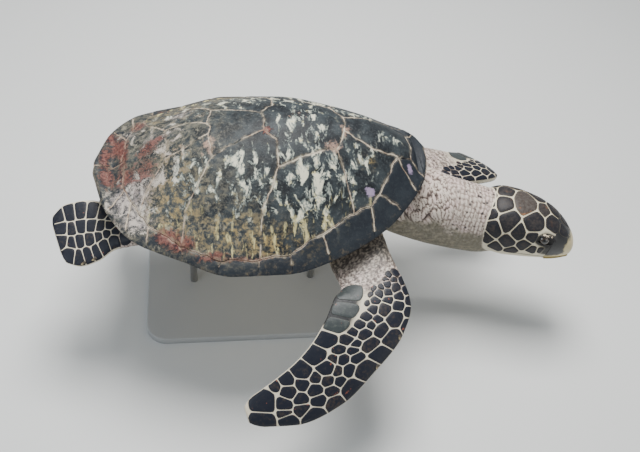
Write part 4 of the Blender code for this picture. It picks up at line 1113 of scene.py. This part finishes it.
# The loft that each point came from, its place along that loft and its place across a limb.
tile = np.clip((uv * 3).astype(int), 0, 2)
on_loft = (uv * 3 % 1 - (1 - 3 * TILE_SPAN) / 2) / (3 * TILE_SPAN)
part = np.zeros(len(points), int)
part[corners] = tile[:, 0] + 3 * tile[:, 1]
share_along, across = np.zeros((2, len(points)))
share_along[corners] = on_loft[:, 0]
across[corners] = np.cos(2 * math.pi * on_loft[:, 1])
meets = np.ptp(part[edges], axis=1) > 0
met = np.zeros(len(points), bool)
met[edges[meets].ravel()] = True
points = eased_joins(points, edges, met)
normals = point_normals(points, corners, sizes)

NECK, HEAD, FRONT_RIGHT, FRONT_LEFT, TAIL = 1, 2, 3, 4, 7   # each loft's square on the unwrap
behind_head = (np.array(HEAD_BACK) - points) @ NECK_WAY
aside = points[:, 1] + NECK_SWERVE * (points[:, 0] - NECK_ROOT)
around = np.arctan2(aside, points[:, 2] - NECK_MIDDLE) * NECK_RADIUS
broad, fine = grain(points, 0.03, 1), grain(points, 0.010, 2)

# Rows of scales behind the head, then loose diagonal folds towards the shell.
rowwise = behind_head + 0.0036 * broad + 0.0013 * fine
rows_height = 0.42 + 0.58 * creased(rowwise / ROW_SPACING, 0.8)
rows_height *= 0.35 + 0.65 * pebbles(np.stack([rowwise, 0.55 * around], 1), ROW_CELL, 2)
slant = FOLD_WAY[1] * np.sign(around + 0.02)
diagonal = behind_head * FOLD_WAY[0] + around * slant
crosswise = around * FOLD_WAY[0] - behind_head * slant
loops = np.stack([diagonal + 0.007 * broad + 0.0026 * fine,
                  0.30 * crosswise + 0.004 * grain(points, 0.020, 6)], 1)
folds_height = pebbles(loops, FOLD_CELL, 3) * (0.80 + 0.20 * creased(crosswise / 0.012 + fine))
folded = ramp(behind_head + 0.012 * broad, 0.050, 0.105)
neck_height = rows_height * (1 - folded) + folds_height * folded
# How far the skin faces down: the relief is smoothed there, and the colour goes olive and darker, partly
# as painted shade.
belly = ramp(-normals[:, 2] + 0.10 * broad + 0.10 * fine, -0.36, -0.02)
askew = points[:, 0] + points[:, 1] * 0.4 + 0.008 * broad
wrinkled = 0.55 * pebbles(points, WRINKLE_CELL, 4) + 0.45 * creased(askew / WRINKLE_SPACING)

of_neck = part == NECK
limb = (part >= FRONT_RIGHT) & (part < TAIL)
front = (part == FRONT_RIGHT) | (part == FRONT_LEFT)
bare_until = np.select([part == FRONT_RIGHT, part == FRONT_LEFT], BARE_UNTIL[:2], BARE_UNTIL[2])
bare = np.where(limb, 1 - ramp(share_along, bare_until - 0.07, bare_until), 1.0)
height = np.select([of_neck, part == HEAD], [neck_height, 1.0], wrinkled)
depth = np.where(of_neck, (NECK_RELIEF + FOLD_RELIEF * folded) * (1 - 0.75 * belly), LIMB_RELIEF)
depth = depth * bare * (part != HEAD)
lobes = [np.where(part == FRONT_RIGHT, *ends) for ends in zip(LOBES_RIGHT, LOBES_LEFT)]
# Painted shade between the lobes: the skin along the trailing edge of each front limb, where its lobes
# are, is made near-black.
lobed = (front * ramp(across, -0.30, -0.45) * ramp(share_along, lobes[0], lobes[0] + 0.02)
         * (1 - ramp(share_along, lobes[1] - 0.02, lobes[1])))
for _ in range(2):
    depth = neighbour_mean(depth, edges)
points = points - normals * (depth * (1 - height))[:, None]

# The orbits sink the skin round each eye, and the line of the mouth is pressed in.
in_head = (points - head_frame()[:3, 3]) @ head_frame()[:3, :3]
ahead, _, above = in_head.T
of_head = part == HEAD
eyes_at = np.array(EYE_PLACE) * np.stack([np.ones(3), [1, -1, 1]])
from_eye, from_lids = (np.min([np.linalg.norm((in_head - eye) / (long, 1, 1), axis=1)
                               for eye in eyes_at], axis=0) for long in (1, LID_SPREAD))
orbit = of_head * (1 - ramp(from_eye, 0.013, 0.022))
lore = ramp(ahead, 0.130, 0.142) * ramp(above, -0.024, -0.016) * (1 - ramp(above, 0.008, 0.020))
socket = of_head * np.maximum(1 - ramp(from_lids, 0.0162, 0.0192), lore)
mouth_line = MOUTH_LEVEL - 0.05 * np.clip(0.14 - ahead, 0, 1)
mouth = of_head * (1 - ramp(np.abs(above - mouth_line), 0.0004, 0.0030)) * ramp(ahead, 0.066, 0.084)
points = points - normals * (ORBIT_DEPTH * orbit + MOUTH_DEPTH * mouth)[:, None]

layers = {"height": np.where(depth > 1e-5, height, 0.9), "rows": of_neck * (1 - folded),
          "belly": belly, "bare": bare, "lobed": lobed, "mouth": mouth, "orbit": socket,
          "shaded": limb * (1 - ramp(share_along + 0.02 * broad, 0.09, 0.26))}
for key, member in {"neck": of_neck, "head": of_head, "limb": limb}.items():
    layers[key] = neighbour_mean(member * 1.0, edges)
joined.vertices.foreach_set("co", points.astype(np.float32).ravel())
for key, values in layers.items():
    made = joined.attributes.new(key, "FLOAT", "POINT")
    made.data.foreach_set("value", values.astype(np.float32))
joined.name = "skin_whole"
joined.materials.clear()
joined.materials.append(skin.material)
joined.shade_smooth()
whole = bpy.data.objects.new("skin_whole", joined)
bpy.context.scene.collection.objects.link(whole)
ready(whole, "skin", "trunk", "neck", "head", "arm_right", "flipper_right", "arm_left",
      "flipper_left", "thigh_right", "hind_flipper_right", "thigh_left", "hind_flipper_left", "tail")

# ---- Flipper plates -----------------------------------------------------------------------------
# Horny plates over the skin of the flippers, above and below: big along both edges, smaller in
# between, dark, with a pale seam of skin round each. They grow out of the skin, rooted below it.
PLATE_ROUNDS = 28             # points round a plate's outline
SEAM_HALF = 0.0009            # half of the seam of bare skin between two plates
FREE_REACH = 1.35             # how far beyond its reach a plate may spread into open ground
CORNER_CUTS = (0.13, 0.22)    # shares cut off both ends of each side, to round an outline
PLATE_RINGS = [(1.0, -0.0015), (1.0, -0.0005), (0.93, -0.0001), (0.60, 0.0)]   # size, lift
ELBOW = {"front_right": 0.215, "front_left": 0.37, "hind_right": 0.30, "hind_left": 0.30}
# Rows of plates. Each plate: its place from the elbow, 0, to the tip, 1; its place across, 1 at the
# leading edge and -1 at the trailing edge; its reach. The lobes are slate, the rest black.
FRONT_ROWS = {
    "lobes": [(0.175, -0.60, 0.0235), (0.285, -0.60, 0.0235), (0.388, -0.64, 0.0215)],
    "leading": [(0.02, 0.78, 0.007), (0.07, 0.90, 0.008), (0.13, 0.92, 0.010), (0.19, 0.93, 0.011),
                (0.25, 0.93, 0.012), (0.31, 0.96, 0.013), (0.385, 0.74, 0.017), (0.455, 0.72, 0.017),
                (0.53, 0.76, 0.021), (0.61, 0.84, 0.021), (0.69, 0.82, 0.017), (0.775, 0.86, 0.019),
                (0.86, 0.74, 0.015), (0.945, 0.58, 0.024)],
    "second": [(0.03, 0.55, 0.006), (0.07, 0.66, 0.007), (0.12, 0.62, 0.010), (0.18, 0.66, 0.011),
               (0.235, 0.62, 0.013), (0.30, 0.62, 0.017), (0.36, 0.42, 0.014), (0.43, 0.36, 0.014),
               (0.50, 0.30, 0.011), (0.555, 0.34, 0.012), (0.62, 0.36, 0.010), (0.67, 0.42, 0.013),
               (0.73, 0.44, 0.014), (0.795, 0.46, 0.014), (0.86, 0.38, 0.012)],
    "third": [(0.06, 0.40, 0.005), (0.10, 0.40, 0.008), (0.155, 0.36, 0.009), (0.21, 0.36, 0.010),
              (0.26, 0.30, 0.013), (0.315, 0.22, 0.008), (0.35, 0.12, 0.008), (0.395, 0.06, 0.011),
              (0.445, 0.02, 0.007), (0.48, 0.06, 0.008), (0.53, 0.00, 0.011), (0.59, 0.08, 0.010),
              (0.65, 0.10, 0.012), (0.715, 0.08, 0.014), (0.78, 0.10, 0.013), (0.85, 0.04, 0.014)],
    "fourth": [(0.12, 0.20, 0.006), (0.165, 0.12, 0.009), (0.215, 0.02, 0.009), (0.262, 0.02, 0.009),
               (0.31, -0.08, 0.009), (0.355, -0.16, 0.009), (0.405, -0.24, 0.010),
               (0.125, -0.02, 0.005), (0.175, -0.10, 0.005), (0.235, -0.16, 0.005),
               (0.44, -0.28, 0.012), (0.50, -0.26, 0.010), (0.55, -0.22, 0.009),
               (0.605, -0.22, 0.016), (0.68, -0.22, 0.011), (0.74, -0.30, 0.013), (0.81, -0.36, 0.014)],
    "trailing": [(0.475, -0.72, 0.019), (0.585, -0.72, 0.021), (0.700, -0.68, 0.019),
                 (0.790, -0.74, 0.015), (0.850, -0.80, 0.010), (0.925, -0.36, 0.024)],
}
HIND_ROWS = {
    "leading": [(0.02, 0.62, 0.012), (0.16, 0.66, 0.015), (0.31, 0.66, 0.016), (0.44, 0.68, 0.015),
                (0.57, 0.70, 0.016), (0.71, 0.70, 0.016), (0.87, 0.66, 0.018)],
    "middle": [(0.14, 0.30, 0.009), (0.26, 0.30, 0.011), (0.38, 0.28, 0.012), (0.51, 0.28, 0.014),
               (0.64, 0.26, 0.014), (0.78, 0.26, 0.014), (0.94, 0.12, 0.017)],
    "inner": [(0.22, -0.02, 0.009), (0.34, -0.06, 0.011), (0.46, -0.14, 0.013), (0.59, -0.18, 0.014),
              (0.72, -0.20, 0.014), (0.86, -0.30, 0.015)],
    "trailing": [(0.18, -0.44, 0.009), (0.29, -0.58, 0.013), (0.42, -0.62, 0.015),
                 (0.55, -0.66, 0.016), (0.69, -0.66, 0.016), (0.83, -0.74, 0.014)],
}
EDGE_SHARE = 0.985            # plates keep this far inside the edges of a limb, and inside its tip
TIP_SHARE = 0.991
LOBE_SIZE = 0.90              # the lobes are drawn in, so that wide bare skin parts them


def clipped(polygon, normal, limit):
    """The part of a convex polygon where place . normal is at most limit."""
    side = polygon @ normal - limit
    out = []
    for a, b, sa, sb in zip(polygon, np.roll(polygon, -1, 0), side, np.roll(side, -1)):
        if sa <= 0:
            out.append(a)
        if sa * sb < 0:
            out.append(a + (b - a) * sa / (sa - sb))
    return np.array(out).reshape(-1, 2)


def plate_outlines(sites, reaches, drawn, seam=SEAM_HALF):
    """Each drawn site's share of the ground: a round about it, cut by straight seams between it and
    its neighbours, by power distance, then with its corners rounded and evenly divided."""
    turns = np.linspace(0, 2 * math.pi, 16, endpoint=False)
    outlines, kept = [], []
    for i in np.flatnonzero(drawn):
        polygon = sites[i] + FREE_REACH * reaches[i] * np.stack([np.cos(turns), np.sin(turns)], 1)
        close = np.linalg.norm(sites - sites[i], axis=1) < FREE_REACH * (reaches[i] + reaches)
        for j in np.flatnonzero(close):
            if j == i or len(polygon) < 3:
                continue
            gap = sites[j] - sites[i]
            length = np.linalg.norm(gap)
            share = 0.5 + (reaches[i] ** 2 - reaches[j] ** 2) / (2 * length ** 2)
            normal = gap / length
            polygon = clipped(polygon, normal, sites[i] @ normal + share * length - seam)
        if len(polygon) < 3:
            continue
        for cut in CORNER_CUTS:
            after = np.roll(polygon, -1, 0)
            polygon = np.stack([polygon + (after - polygon) * cut, after + (polygon - after) * cut], 1)
            polygon = polygon.reshape(-1, 2)
        closed = np.vstack([polygon, polygon[:1]])
        run = np.r_[0, np.cumsum(np.linalg.norm(np.diff(closed, axis=0), axis=1))]
        at = np.linspace(0, run[-1], PLATE_ROUNDS, endpoint=False)
        outlines.append(np.stack([np.interp(at, run, closed[:, k]) for k in (0, 1)], 1))
        kept.append(i)
    return np.array(outlines), np.array(kept)


def domed_plates(name, finish, outlines, to_space, to_tile, layers, rings=PLATE_RINGS):
    """One closed low dome for each outline: rings drawn in towards its middle, each at its lift off
    the surface, closed above and below by fans. to_space takes (places, lift)."""
    count, n = outlines.shape[:2]
    middle = outlines.mean(1, keepdims=True)
    flat = np.concatenate([middle + (outlines - middle) * share for share, _ in rings]
                          + [middle, middle], 1)
    lift = np.concatenate([np.full(n, up) for _, up in rings] + [[rings[0][1]], [rings[-1][1]]])
    each = flat.shape[1]
    points = to_space(flat.reshape(-1, 2), np.tile(lift, count))
    bottom, top = fan(0, n, each - 2), fan((len(rings) - 1) * n, n, each - 1)
    fans = np.concatenate([bottom[:, [1, 0, 2]], top])
    shift = (np.arange(count) * each)[:, None, None]
    faces = [(ring_quads(len(rings), n) + shift).reshape(-1, 4), (fans + shift).reshape(-1, 3)]
    tile = to_tile(flat.reshape(-1, 2))
    rim = np.concatenate([np.full(n, share) for share, _ in rings] + [[1.0], [0.0]])
    layers = {key: np.repeat(values, each) for key, values in layers.items()}
    return mesh_piece(name, points, faces, finish, [tile[f] for f in faces],
                      {"rim": np.tile(rim, count), **layers})


def place_plates(limb, face):
    """Sites of a limb's plates on its flat chart: metres along the middle line, metres across."""
    rows = HIND_ROWS if limb.startswith("hind") else FRONT_ROWS
    u = np.linspace(0, 1, 400)
    centre, _, _, chord, _ = limb_frame(limb, u)
    run = np.r_[0, np.cumsum(np.linalg.norm(np.diff(centre, axis=0), axis=1))]
    sites, reaches, slate = [], [], []
    for row, plates in rows.items():
        for q, across, reach in plates:
            share = ELBOW[limb] + (1 - ELBOW[limb]) * q
            width = np.interp(share, u, chord)
            sites.append((np.interp(share, u, run), across * width))
            reaches.append(reach * (0.55 + 0.45 * min(1, width / 0.05)))
            slate.append(row == "lobes")
    sites = np.array(sites)
    wander = np.stack([grain(sites + face * 0.3, 0.004, 5), grain(sites + face * 0.3, 0.004, 6)], 1)
    sites += wander * np.array(reaches)[:, None] * 0.10
    return u, run, chord, sites, np.array(reaches), np.array(slate)


def limb_plates(limb):
    """The plates of both faces of one limb, as one piece."""
    made = []
    for face in (1, -1):
        u, run, chord, sites, reaches, slate = place_plates(limb, face)
        outlines, kept = plate_outlines(sites, reaches, np.ones(len(sites), bool))
        middles = outlines.mean(1, keepdims=True)
        drawn_in = np.where(slate[kept], LOBE_SIZE, 1.0)[:, None, None]
        outlines = middles + (outlines - middles) * drawn_in
        limit = np.interp(outlines[..., 0], run, chord) * EDGE_SHARE - 0.0008
        outlines[..., 0] = np.minimum(outlines[..., 0], run[-1] * TIP_SHARE)
        outlines[..., 1] = np.clip(outlines[..., 1], -limit, limit)

        def to_space(places, lift):
            share = np.interp(places[:, 0], run, u)
            across = places[:, 1] / np.interp(places[:, 0], run, chord)
            return limb_point(limb, share, across, face, lift)

        def to_tile(places):
            share = np.interp(places[:, 0], run, u)
            across = np.clip(places[:, 1] / np.interp(places[:, 0], run, chord), -1, 1)
            turn = np.arccos(across) / (2 * math.pi)
            return on_tile(limb, np.stack([share, turn if face > 0 else 1 - turn], 1))

        tone = grain(sites[kept], 0.003, 7)
        made.append(domed_plates(f"{limb}_{'upper' if face > 0 else 'lower'}_plates", plated, outlines,
                                 to_space, to_tile, {"tone": tone, "slate": slate[kept] * 1.0}))
    return made


PLATE_NAVY = (0.011, 0.013, 0.021)
PLATE_BROWN = (0.045, 0.034, 0.028)
PLATE_SLATE = (0.040, 0.048, 0.048)

plated = Finish("plated_horn", Specular_IOR_Level=0.28)
spot = plated.spot()
mottle = plated.noise(spot, 150.0, 5.0, 0.65)
slate_tone = plated.blend(PLATE_SLATE, (0.078, 0.090, 0.082), plated.step(mottle, 0.45, 0.75))
colour = plated.coats(
    PLATE_NAVY,
    (PLATE_BROWN, plated.step(mottle + plated.layer("tone") * 0.12, 0.5, 0.8)),
    (slate_tone, plated.layer("slate") * 0.85),
    ((0.16, 0.14, 0.11), plated.step(plated.layer("rim"), 0.955, 1.0) * 0.55),
    ((0.30, 0.09, 0.05), plated.step(plated.noise(spot, 95.0, 2.0), 0.70, 0.74) * 0.6))
plated.feed(Base_Color=colour, Roughness=plated.step(mottle, 0.2, 0.9) * 0.22 + 0.34)
plated.bump(mottle * 0.7 + plated.noise(spot, 420.0, 2.0) * 0.3, 0.0006)

for limb in LIMBS:
    for piece in limb_plates(limb):
        ready(piece, "plated_skin")

# ---- Claws --------------------------------------------------------------------------------------
# Two short curved claws of horn on the leading edge of each flipper, set in the skin.
CLAW_LENGTH = 0.013
CLAW_RADIUS = 0.0030
CLAW_ROOT = 0.004             # how deep a claw is set in the skin
CLAW_SIDES = 16
CLAWS_AT = {"front_right": (0.50, 0.60), "front_left": (0.55, 0.64), "hind_right": (0.62, 0.74),
            "hind_left": (0.62, 0.74)}

claw_horn = Finish("claw_horn")
tipward = claw_horn.step(claw_horn.layer("tipward"), 0.25, 0.9)
claw_horn.feed(Base_Color=claw_horn.blend((0.05, 0.04, 0.03), (0.32, 0.25, 0.14), tipward),
               Roughness=claw_horn.noise(claw_horn.spot(), 400.0) * 0.2 + 0.28)
for limb, places in CLAWS_AT.items():
    for number, at in enumerate(places, 1):
        share = np.linspace(0, 1, 12)
        root = limb_point(limb, np.array([at]), np.array([0.93]), 1, 0.0)[0]
        middle, lead, normal, _, _ = (v[0] for v in limb_frame(limb, np.array([at])))
        ahead = unit(limb_frame(limb, np.array([at + 0.03]))[0][0] - middle)
        out = (share * 0.55 - share ** 2 * 0.225)[:, None]
        curve = lead * out + ahead * share[:, None] * 0.75 + normal * 0.1
        path = root - lead * CLAW_ROOT + CLAW_LENGTH * curve
        radius = CLAW_RADIUS * np.sqrt(np.clip(1 - share ** 1.7, 0.004, 1))
        a = np.linspace(0, 2 * math.pi, CLAW_SIDES, endpoint=False)
        way = unit(np.gradient(path, axis=0))
        side = unit(np.cross(way, normal))
        rings = (path[:, None] + side[:, None] * (radius[:, None] * np.cos(a))[..., None]
                 + np.cross(side, way)[:, None] * (0.75 * radius[:, None] * np.sin(a))[..., None])
        faces, uv = tube(len(share), len(a))
        tipward = np.r_[np.repeat(share, len(a)), 0, 1]
        ready(mesh_piece(f"claw_{limb}_{number}", capped(rings), faces, claw_horn, uv,
                         {"tipward": tipward}), "beak_horn")

# ---- Head plates --------------------------------------------------------------------------------
# Horny plates of the skull, mirrored about its middle: a large one over the crown, pairs about it,
# a row behind each eye. Dark, the crown greyer, set in cream seams of skin.
HEAD_SEAM = 0.0011            # half of the seam between two plates of the head
HEAD_ARC = 0.055              # metres round the head for one radian, on the flat chart
HEAD_RINGS = [(1.0, -0.0016), (1.0, -0.0003), (0.94, 0.0002), (0.62, 0.0004)]
# Distance from the nape, turn from the crown, reach, and how grey the plate is.
CROWN_PLATES = [(0.003, 0.0, 0.0085, 0.1), (0.071, 0.0, 0.0265, 1.0), (0.1125, 0.0, 0.0135, 0.5)]
SIDE_PLATES = [(0.003, 0.34, 0.0095, 0.1), (0.009, 0.70, 0.0105, 0.0), (0.032, 0.27, 0.0185, 0.25),
               (0.046, 0.76, 0.0195, 0.1), (0.096, 0.60, 0.0205, 0.15), (0.139, 0.36, 0.0165, 0.1),
               (0.167, 0.36, 0.0125, 0.0), (0.024, 1.14, 0.0165, 0.0), (0.016, 1.58, 0.0150, 0.0),
               (0.073, 1.04, 0.0165, 0.0), (0.062, 1.43, 0.0155, 0.0), (0.093, 1.44, 0.0130, 0.0),
               (0.046, 1.84, 0.0125, 0.0), (0.078, 1.80, 0.0115, 0.0), (0.101, 1.03, 0.0130, 0.0),
               (0.116, 1.62, 0.0095, 0.0), (0.134, 1.56, 0.0070, 0.0)]
KEPT_BARE = [(0.131, 1.06, 0.0160), (0.108, 2.02, 0.0135), (0.150, 1.60, 0.0125),
             (0.040, 2.30, 0.0160), (0.078, 2.25, 0.0160), (0.012, 2.05, 0.0130)]


def head_to_space(places, lift):
    """The head's form from its flat chart: metres from the nape, metres round from the crown."""
    turn = places[:, 1] / HEAD_ARC
    surface = head_local(places[:, 0], turn)
    past = head_local(places[:, 0], turn, 0.001)
    return from_head(surface + (past - surface) * (lift / 0.001)[:, None])


def head_to_tile(places):
    share = (places[:, 0] - head_x[0]) / (head_x[-1] - head_x[0])
    turn = places[:, 1] / HEAD_ARC / (2 * math.pi) + 0.5
    return on_tile("head", np.clip(np.stack([share, turn], 1), 0, 1))


pairs = [(x, side * turn, reach, grey, 1) for x, turn, reach, grey in SIDE_PLATES for side in (1, -1)]
bare_spots = [(x, side * turn, reach, 0, 0) for x, turn, reach in KEPT_BARE for side in (1, -1)]
head_sites = np.array([(*row, 1) for row in CROWN_PLATES] + pairs + bare_spots)
centres = head_sites[:, :2] * (1, HEAD_ARC)
outlines, kept = plate_outlines(centres, head_sites[:, 2], head_sites[:, 4] > 0, HEAD_SEAM)
outlines[..., 0] = np.maximum(outlines[..., 0], head_x[0] + 0.0005)

HEAD_DARK = (0.011, 0.012, 0.017)
HEAD_BROWN = (0.048, 0.038, 0.033)
CROWN_GREY = (0.090, 0.078, 0.070)
CROWN_ORANGE = (0.36, 0.16, 0.07)

skull_horn = Finish("skull_horn", Specular_IOR_Level=0.28)
spot = skull_horn.spot()
mottle = skull_horn.noise(spot, 190.0, 5.0, 0.68)
rim = skull_horn.layer("rim")
orange = skull_horn.step(skull_horn.noise(spot, 62.0, 3.0), 0.60, 0.74) * 0.7
crown = skull_horn.coats(HEAD_BROWN, (CROWN_GREY, skull_horn.step(mottle, 0.35, 0.7)),
                         (CROWN_ORANGE, orange))
brown = skull_horn.step(mottle + (1 - rim) * 0.22, 0.5, 0.85) * 0.8
colour = skull_horn.coats(HEAD_DARK, (HEAD_BROWN, brown), (crown, skull_horn.layer("grey")),
                          ((0.30, 0.23, 0.14), skull_horn.step(rim, 0.95, 1.0) * 0.5))
skull_horn.feed(Base_Color=colour, Roughness=skull_horn.step(mottle, 0.2, 0.9) * 0.2 + 0.44)
skull_horn.bump(mottle * 0.7 + skull_horn.noise(spot, 520.0, 2.0) * 0.3, 0.0006)
ready(domed_plates("head_plates", skull_horn, outlines, head_to_space, head_to_tile,
                   {"grey": head_sites[kept, 3]}, HEAD_RINGS), "plated_skin")

# ---- Beak ---------------------------------------------------------------------------------------
# Two sheaths of horn over the jaws: the upper one hooked a little over the lower, with the
# nostrils in it, dark above and yellow along its cutting edge.
HORN_LIFT = -0.0004
HOOK_DROP = 0.0045
HOOK_FROM = 0.188
NOSTRIL = (0.186, 0.30)       # distance from the nape, turn from the crown
NOSTRIL_RADIUS = 0.0024
NOSTRIL_DEPTH = 0.0022
SNOUT_ARC = 0.045             # metres round the snout for one radian
BEAK_SIDES = 160
SHORT_OF_TIP = {"upper": 0.0004, "lower": 0.0048}


def from_nostril(x, turn):
    """Distance over the snout from the nearer nostril."""
    return np.hypot(x - NOSTRIL[0], (np.abs(turn) - NOSTRIL[1]) * SNOUT_ARC)


def beak_points(xs, turns, upper):
    """The head's form cut at the mouth: what would pass the cutting edge is laid flat on it. The
    edge of the upper sheath drops towards the tip as a quarter sine."""
    x, turn = (a.ravel() for a in np.meshgrid(xs, turns, indexing="ij"))
    points = head_local(x, turn, HORN_LIFT)
    drop = HOOK_DROP * np.clip((x - HOOK_FROM) / (HEAD_LENGTH - HOOK_FROM), 0, 1) ** 1.5
    if upper:
        pit = 1 - ramp(from_nostril(x, turn), 0.3 * NOSTRIL_RADIUS, NOSTRIL_RADIUS)
        inward = np.stack([0 * turn, np.sin(turn), np.cos(turn)], 1)
        points -= NOSTRIL_DEPTH * pit[:, None] * inward
        points[:, 2] = np.maximum(points[:, 2], MOUTH_LEVEL + 0.0004 - drop)
    else:
        points[:, 2] = np.minimum(points[:, 2], MOUTH_LEVEL - 0.0008 - drop * 1.1)
    return from_head(points).reshape(len(xs), len(turns), 3), points


beak_horn = Finish("beak_horn", Specular_IOR_Level=0.5)
spot = beak_horn.spot()
streaks = beak_horn.noise(spot, 130.0, 5.0, 0.65)
dusk = beak_horn.layer("dusk")
pale = beak_horn.step(streaks, 0.52, 0.74) * beak_horn.step(dusk, 0.6, 0.2) * 0.7
colour = beak_horn.coats(
    (0.56, 0.47, 0.25),
    ((0.017, 0.017, 0.018), beak_horn.step(dusk + streaks * 0.8 - 0.40, 0.26, 0.74)),
    ((0.64, 0.56, 0.38), pale),
    ((0.012, 0.010, 0.010), beak_horn.layer("pit")))
beak_horn.feed(Base_Color=colour, Roughness=beak_horn.step(streaks, 0.2, 0.9) * 0.2 + 0.28)
beak_horn.bump(streaks * 0.6 + beak_horn.noise(spot, 600.0, 2.0) * 0.4, 0.0004)

beak_turns = np.linspace(-math.pi, math.pi, BEAK_SIDES, endpoint=False)
for word, short in SHORT_OF_TIP.items():
    upper = word == "upper"
    end = HEAD_LENGTH - short
    bent = 1 - (1 - np.linspace(0, 1, 66)) ** 1.6
    xs = BEAK_FROM + (end - BEAK_FROM) * bent
    rings, local = beak_points(xs, beak_turns, upper)
    turn = np.tile(beak_turns, len(xs))
    x = np.repeat(xs, len(beak_turns))
    pit = 1 - ramp(from_nostril(x, turn), 0.2 * NOSTRIL_RADIUS, 0.8 * NOSTRIL_RADIUS)
    above_mouth = local[:, 2] + 0.003 * grain(local, 0.010, 9) - MOUTH_LEVEL
    behind = 1 - ramp(x + 0.005 * grain(local, 0.012, 8), 0.172, 0.194)
    lore = ramp(above_mouth, 0.005, 0.014) * behind
    ridge = 0.75 * (1 - ramp(np.abs(turn), 0.5, 0.9)) * (1 - ramp(x, 0.182, 0.202))
    dusk = np.maximum(lore, ridge) if upper else 0.2 * ramp(x, 0.18, 0.15)
    faces, uv = tube(*rings.shape[:2])
    layers = {"dusk": np.r_[dusk, 0.5, 0], "pit": np.r_[pit * upper, 0, 0]}
    ready(mesh_piece(f"beak_{word}_horn", capped(rings), faces, beak_horn, uv, layers),
          "beak_horn", f"beak_{word}")

# ---- Eyes ---------------------------------------------------------------------------------------
# A dark glossy ball in each orbit, and thick lids round it: one ring of skin over the ball, open as
# an almond, its corners along the head.
EYE_WAY = (0.20, 1.0, 0.42)       # where the left eye looks, in the head's frame
LID_STANDS = 0.0013
LID_OPEN = (1.12, 0.66, 0.58)     # half opening, in radians: along the head, upwards, downwards
LID_REACH = 1.48
LID_STRETCH = 1.75                # the lids' corners lie this much further out than the ball
# The lids in section: share of the way from the opening, 0, to their outer edge, 1, and how high.
LID_PROFILE = [(1.0, 0.0), (1.0, 0.5), (0.86, 0.92), (0.62, 1.0), (0.40, 1.0), (0.20, 1.0),
               (0.07, 0.95), (0.0, 0.7), (-0.02, 0.4), (0.0, 0.12), (0.10, 0.05), (0.5, 0.04),
               (0.9, 0.02)]

eye_ball = Finish("eye_ball", Roughness=0.06, Specular_IOR_Level=0.6, Coat_Weight=0.6,
                  Coat_Roughness=0.03)
gaze = eye_ball.layer("gaze")
flecks = eye_ball.noise(eye_ball.spot(), 700.0, 3.0)
iris = eye_ball.blend((0.020, 0.013, 0.009), (0.055, 0.036, 0.022), flecks)
eye_ball.feed(Base_Color=eye_ball.coats((0.003, 0.003, 0.004), (iris, eye_ball.step(gaze, 0.40, 0.46)),
                                        ((0.02, 0.018, 0.018), eye_ball.step(gaze, 0.74, 0.86))))

lid_skin = Finish("lid_skin", Specular_IOR_Level=0.22)
spot = lid_skin.spot()
mottle = lid_skin.noise(spot, 330.0, 4.0)
pale = lid_skin.step(lid_skin.noise(spot, 150.0, 2.0) + lid_skin.layer("crest") * 0.30, 0.80, 0.86)
colour = lid_skin.coats((0.014, 0.014, 0.017), ((0.045, 0.040, 0.036), lid_skin.step(mottle, 0.45, 0.7)),
                        ((0.62, 0.52, 0.38), pale))
lid_skin.feed(Base_Color=colour, Roughness=mottle * 0.2 + 0.52)
lid_skin.bump(mottle, 0.0006)

for side, word in ((1, "left"), (-1, "right")):
    middle = np.array(EYE_PLACE) * (1, side, 1)
    outward = unit(np.array(EYE_WAY) * (1, side, 1))
    ahead = unit(np.array([1.0, 0, 0]) - outward * outward[0])
    above = np.cross(ahead, outward) * -side
    above = above * np.sign(above[2])

    def on_ball(away, about, radius):
        """Points round the eye: away from its outward way, about it from the front, upwards."""
        ring = ahead * np.cos(about)[..., None] + above * np.sin(about)[..., None]
        turned_way = outward * np.cos(away)[..., None] + ring * np.sin(away)[..., None]
        return from_head(middle + turned_way * np.asarray(radius)[..., None])

    about = np.linspace(0, 2 * math.pi, 72, endpoint=False)
    away = np.linspace(0.04, math.pi - 0.04, 40)
    grid_away, grid_about = np.meshgrid(away, about, indexing="ij")
    faces, uv = tube(len(away), len(about))
    rings = on_ball(grid_away, grid_about, np.full_like(grid_away, EYE_RADIUS))
    ready(mesh_piece(f"eye_ball_{word}", capped(rings), faces, eye_ball, uv,
                     {"gaze": np.r_[grid_away.ravel(), 0, math.pi]}), "eye", f"eye_{word}")

    tall = np.where(np.sin(about) > 0, LID_OPEN[1], LID_OPEN[2])
    opening = 1 / np.sqrt((np.cos(about) / LID_OPEN[0]) ** 2 + (np.sin(about) / tall) ** 2)
    opening = opening * (1 - 0.10 * np.abs(np.sin(2 * about)))
    share, up = np.array(LID_PROFILE).T[:, :, None]
    away = opening + (LID_REACH - opening) * share
    fold = 0.0005 * np.sin(about * 2 + 1) + 0.0003 * np.sin(about * 7)
    radius = EYE_RADIUS + 0.0002 + up * (LID_STANDS * (1 + 0.35 * np.sin(about)) + fold)
    rings = on_ball(away, np.broadcast_to(about, away.shape), radius)
    centre = from_head(middle[None])[0]
    head_ahead = head_frame()[:3, :3] @ ahead
    rings = rings + ((rings - centre) @ head_ahead * (LID_STRETCH - 1))[..., None] * head_ahead
    m, n = away.shape
    i, j = np.divmod(np.arange(m * n), n)
    steps = ((i, j), (i, j + 1), (i + 1, j + 1), (i + 1, j))
    quads = np.stack([a % m * n + b % n for a, b in steps], 1)
    uv = np.stack([np.stack([a / m, b / n], 1) for a, b in steps], 1)
    crest = np.clip(np.sin(about), 0, 1) * up
    ready(mesh_piece(f"eye_lids_{word}", rings.reshape(-1, 3), [quads], lid_skin, [uv],
                     {"crest": crest.ravel()}), "skin")
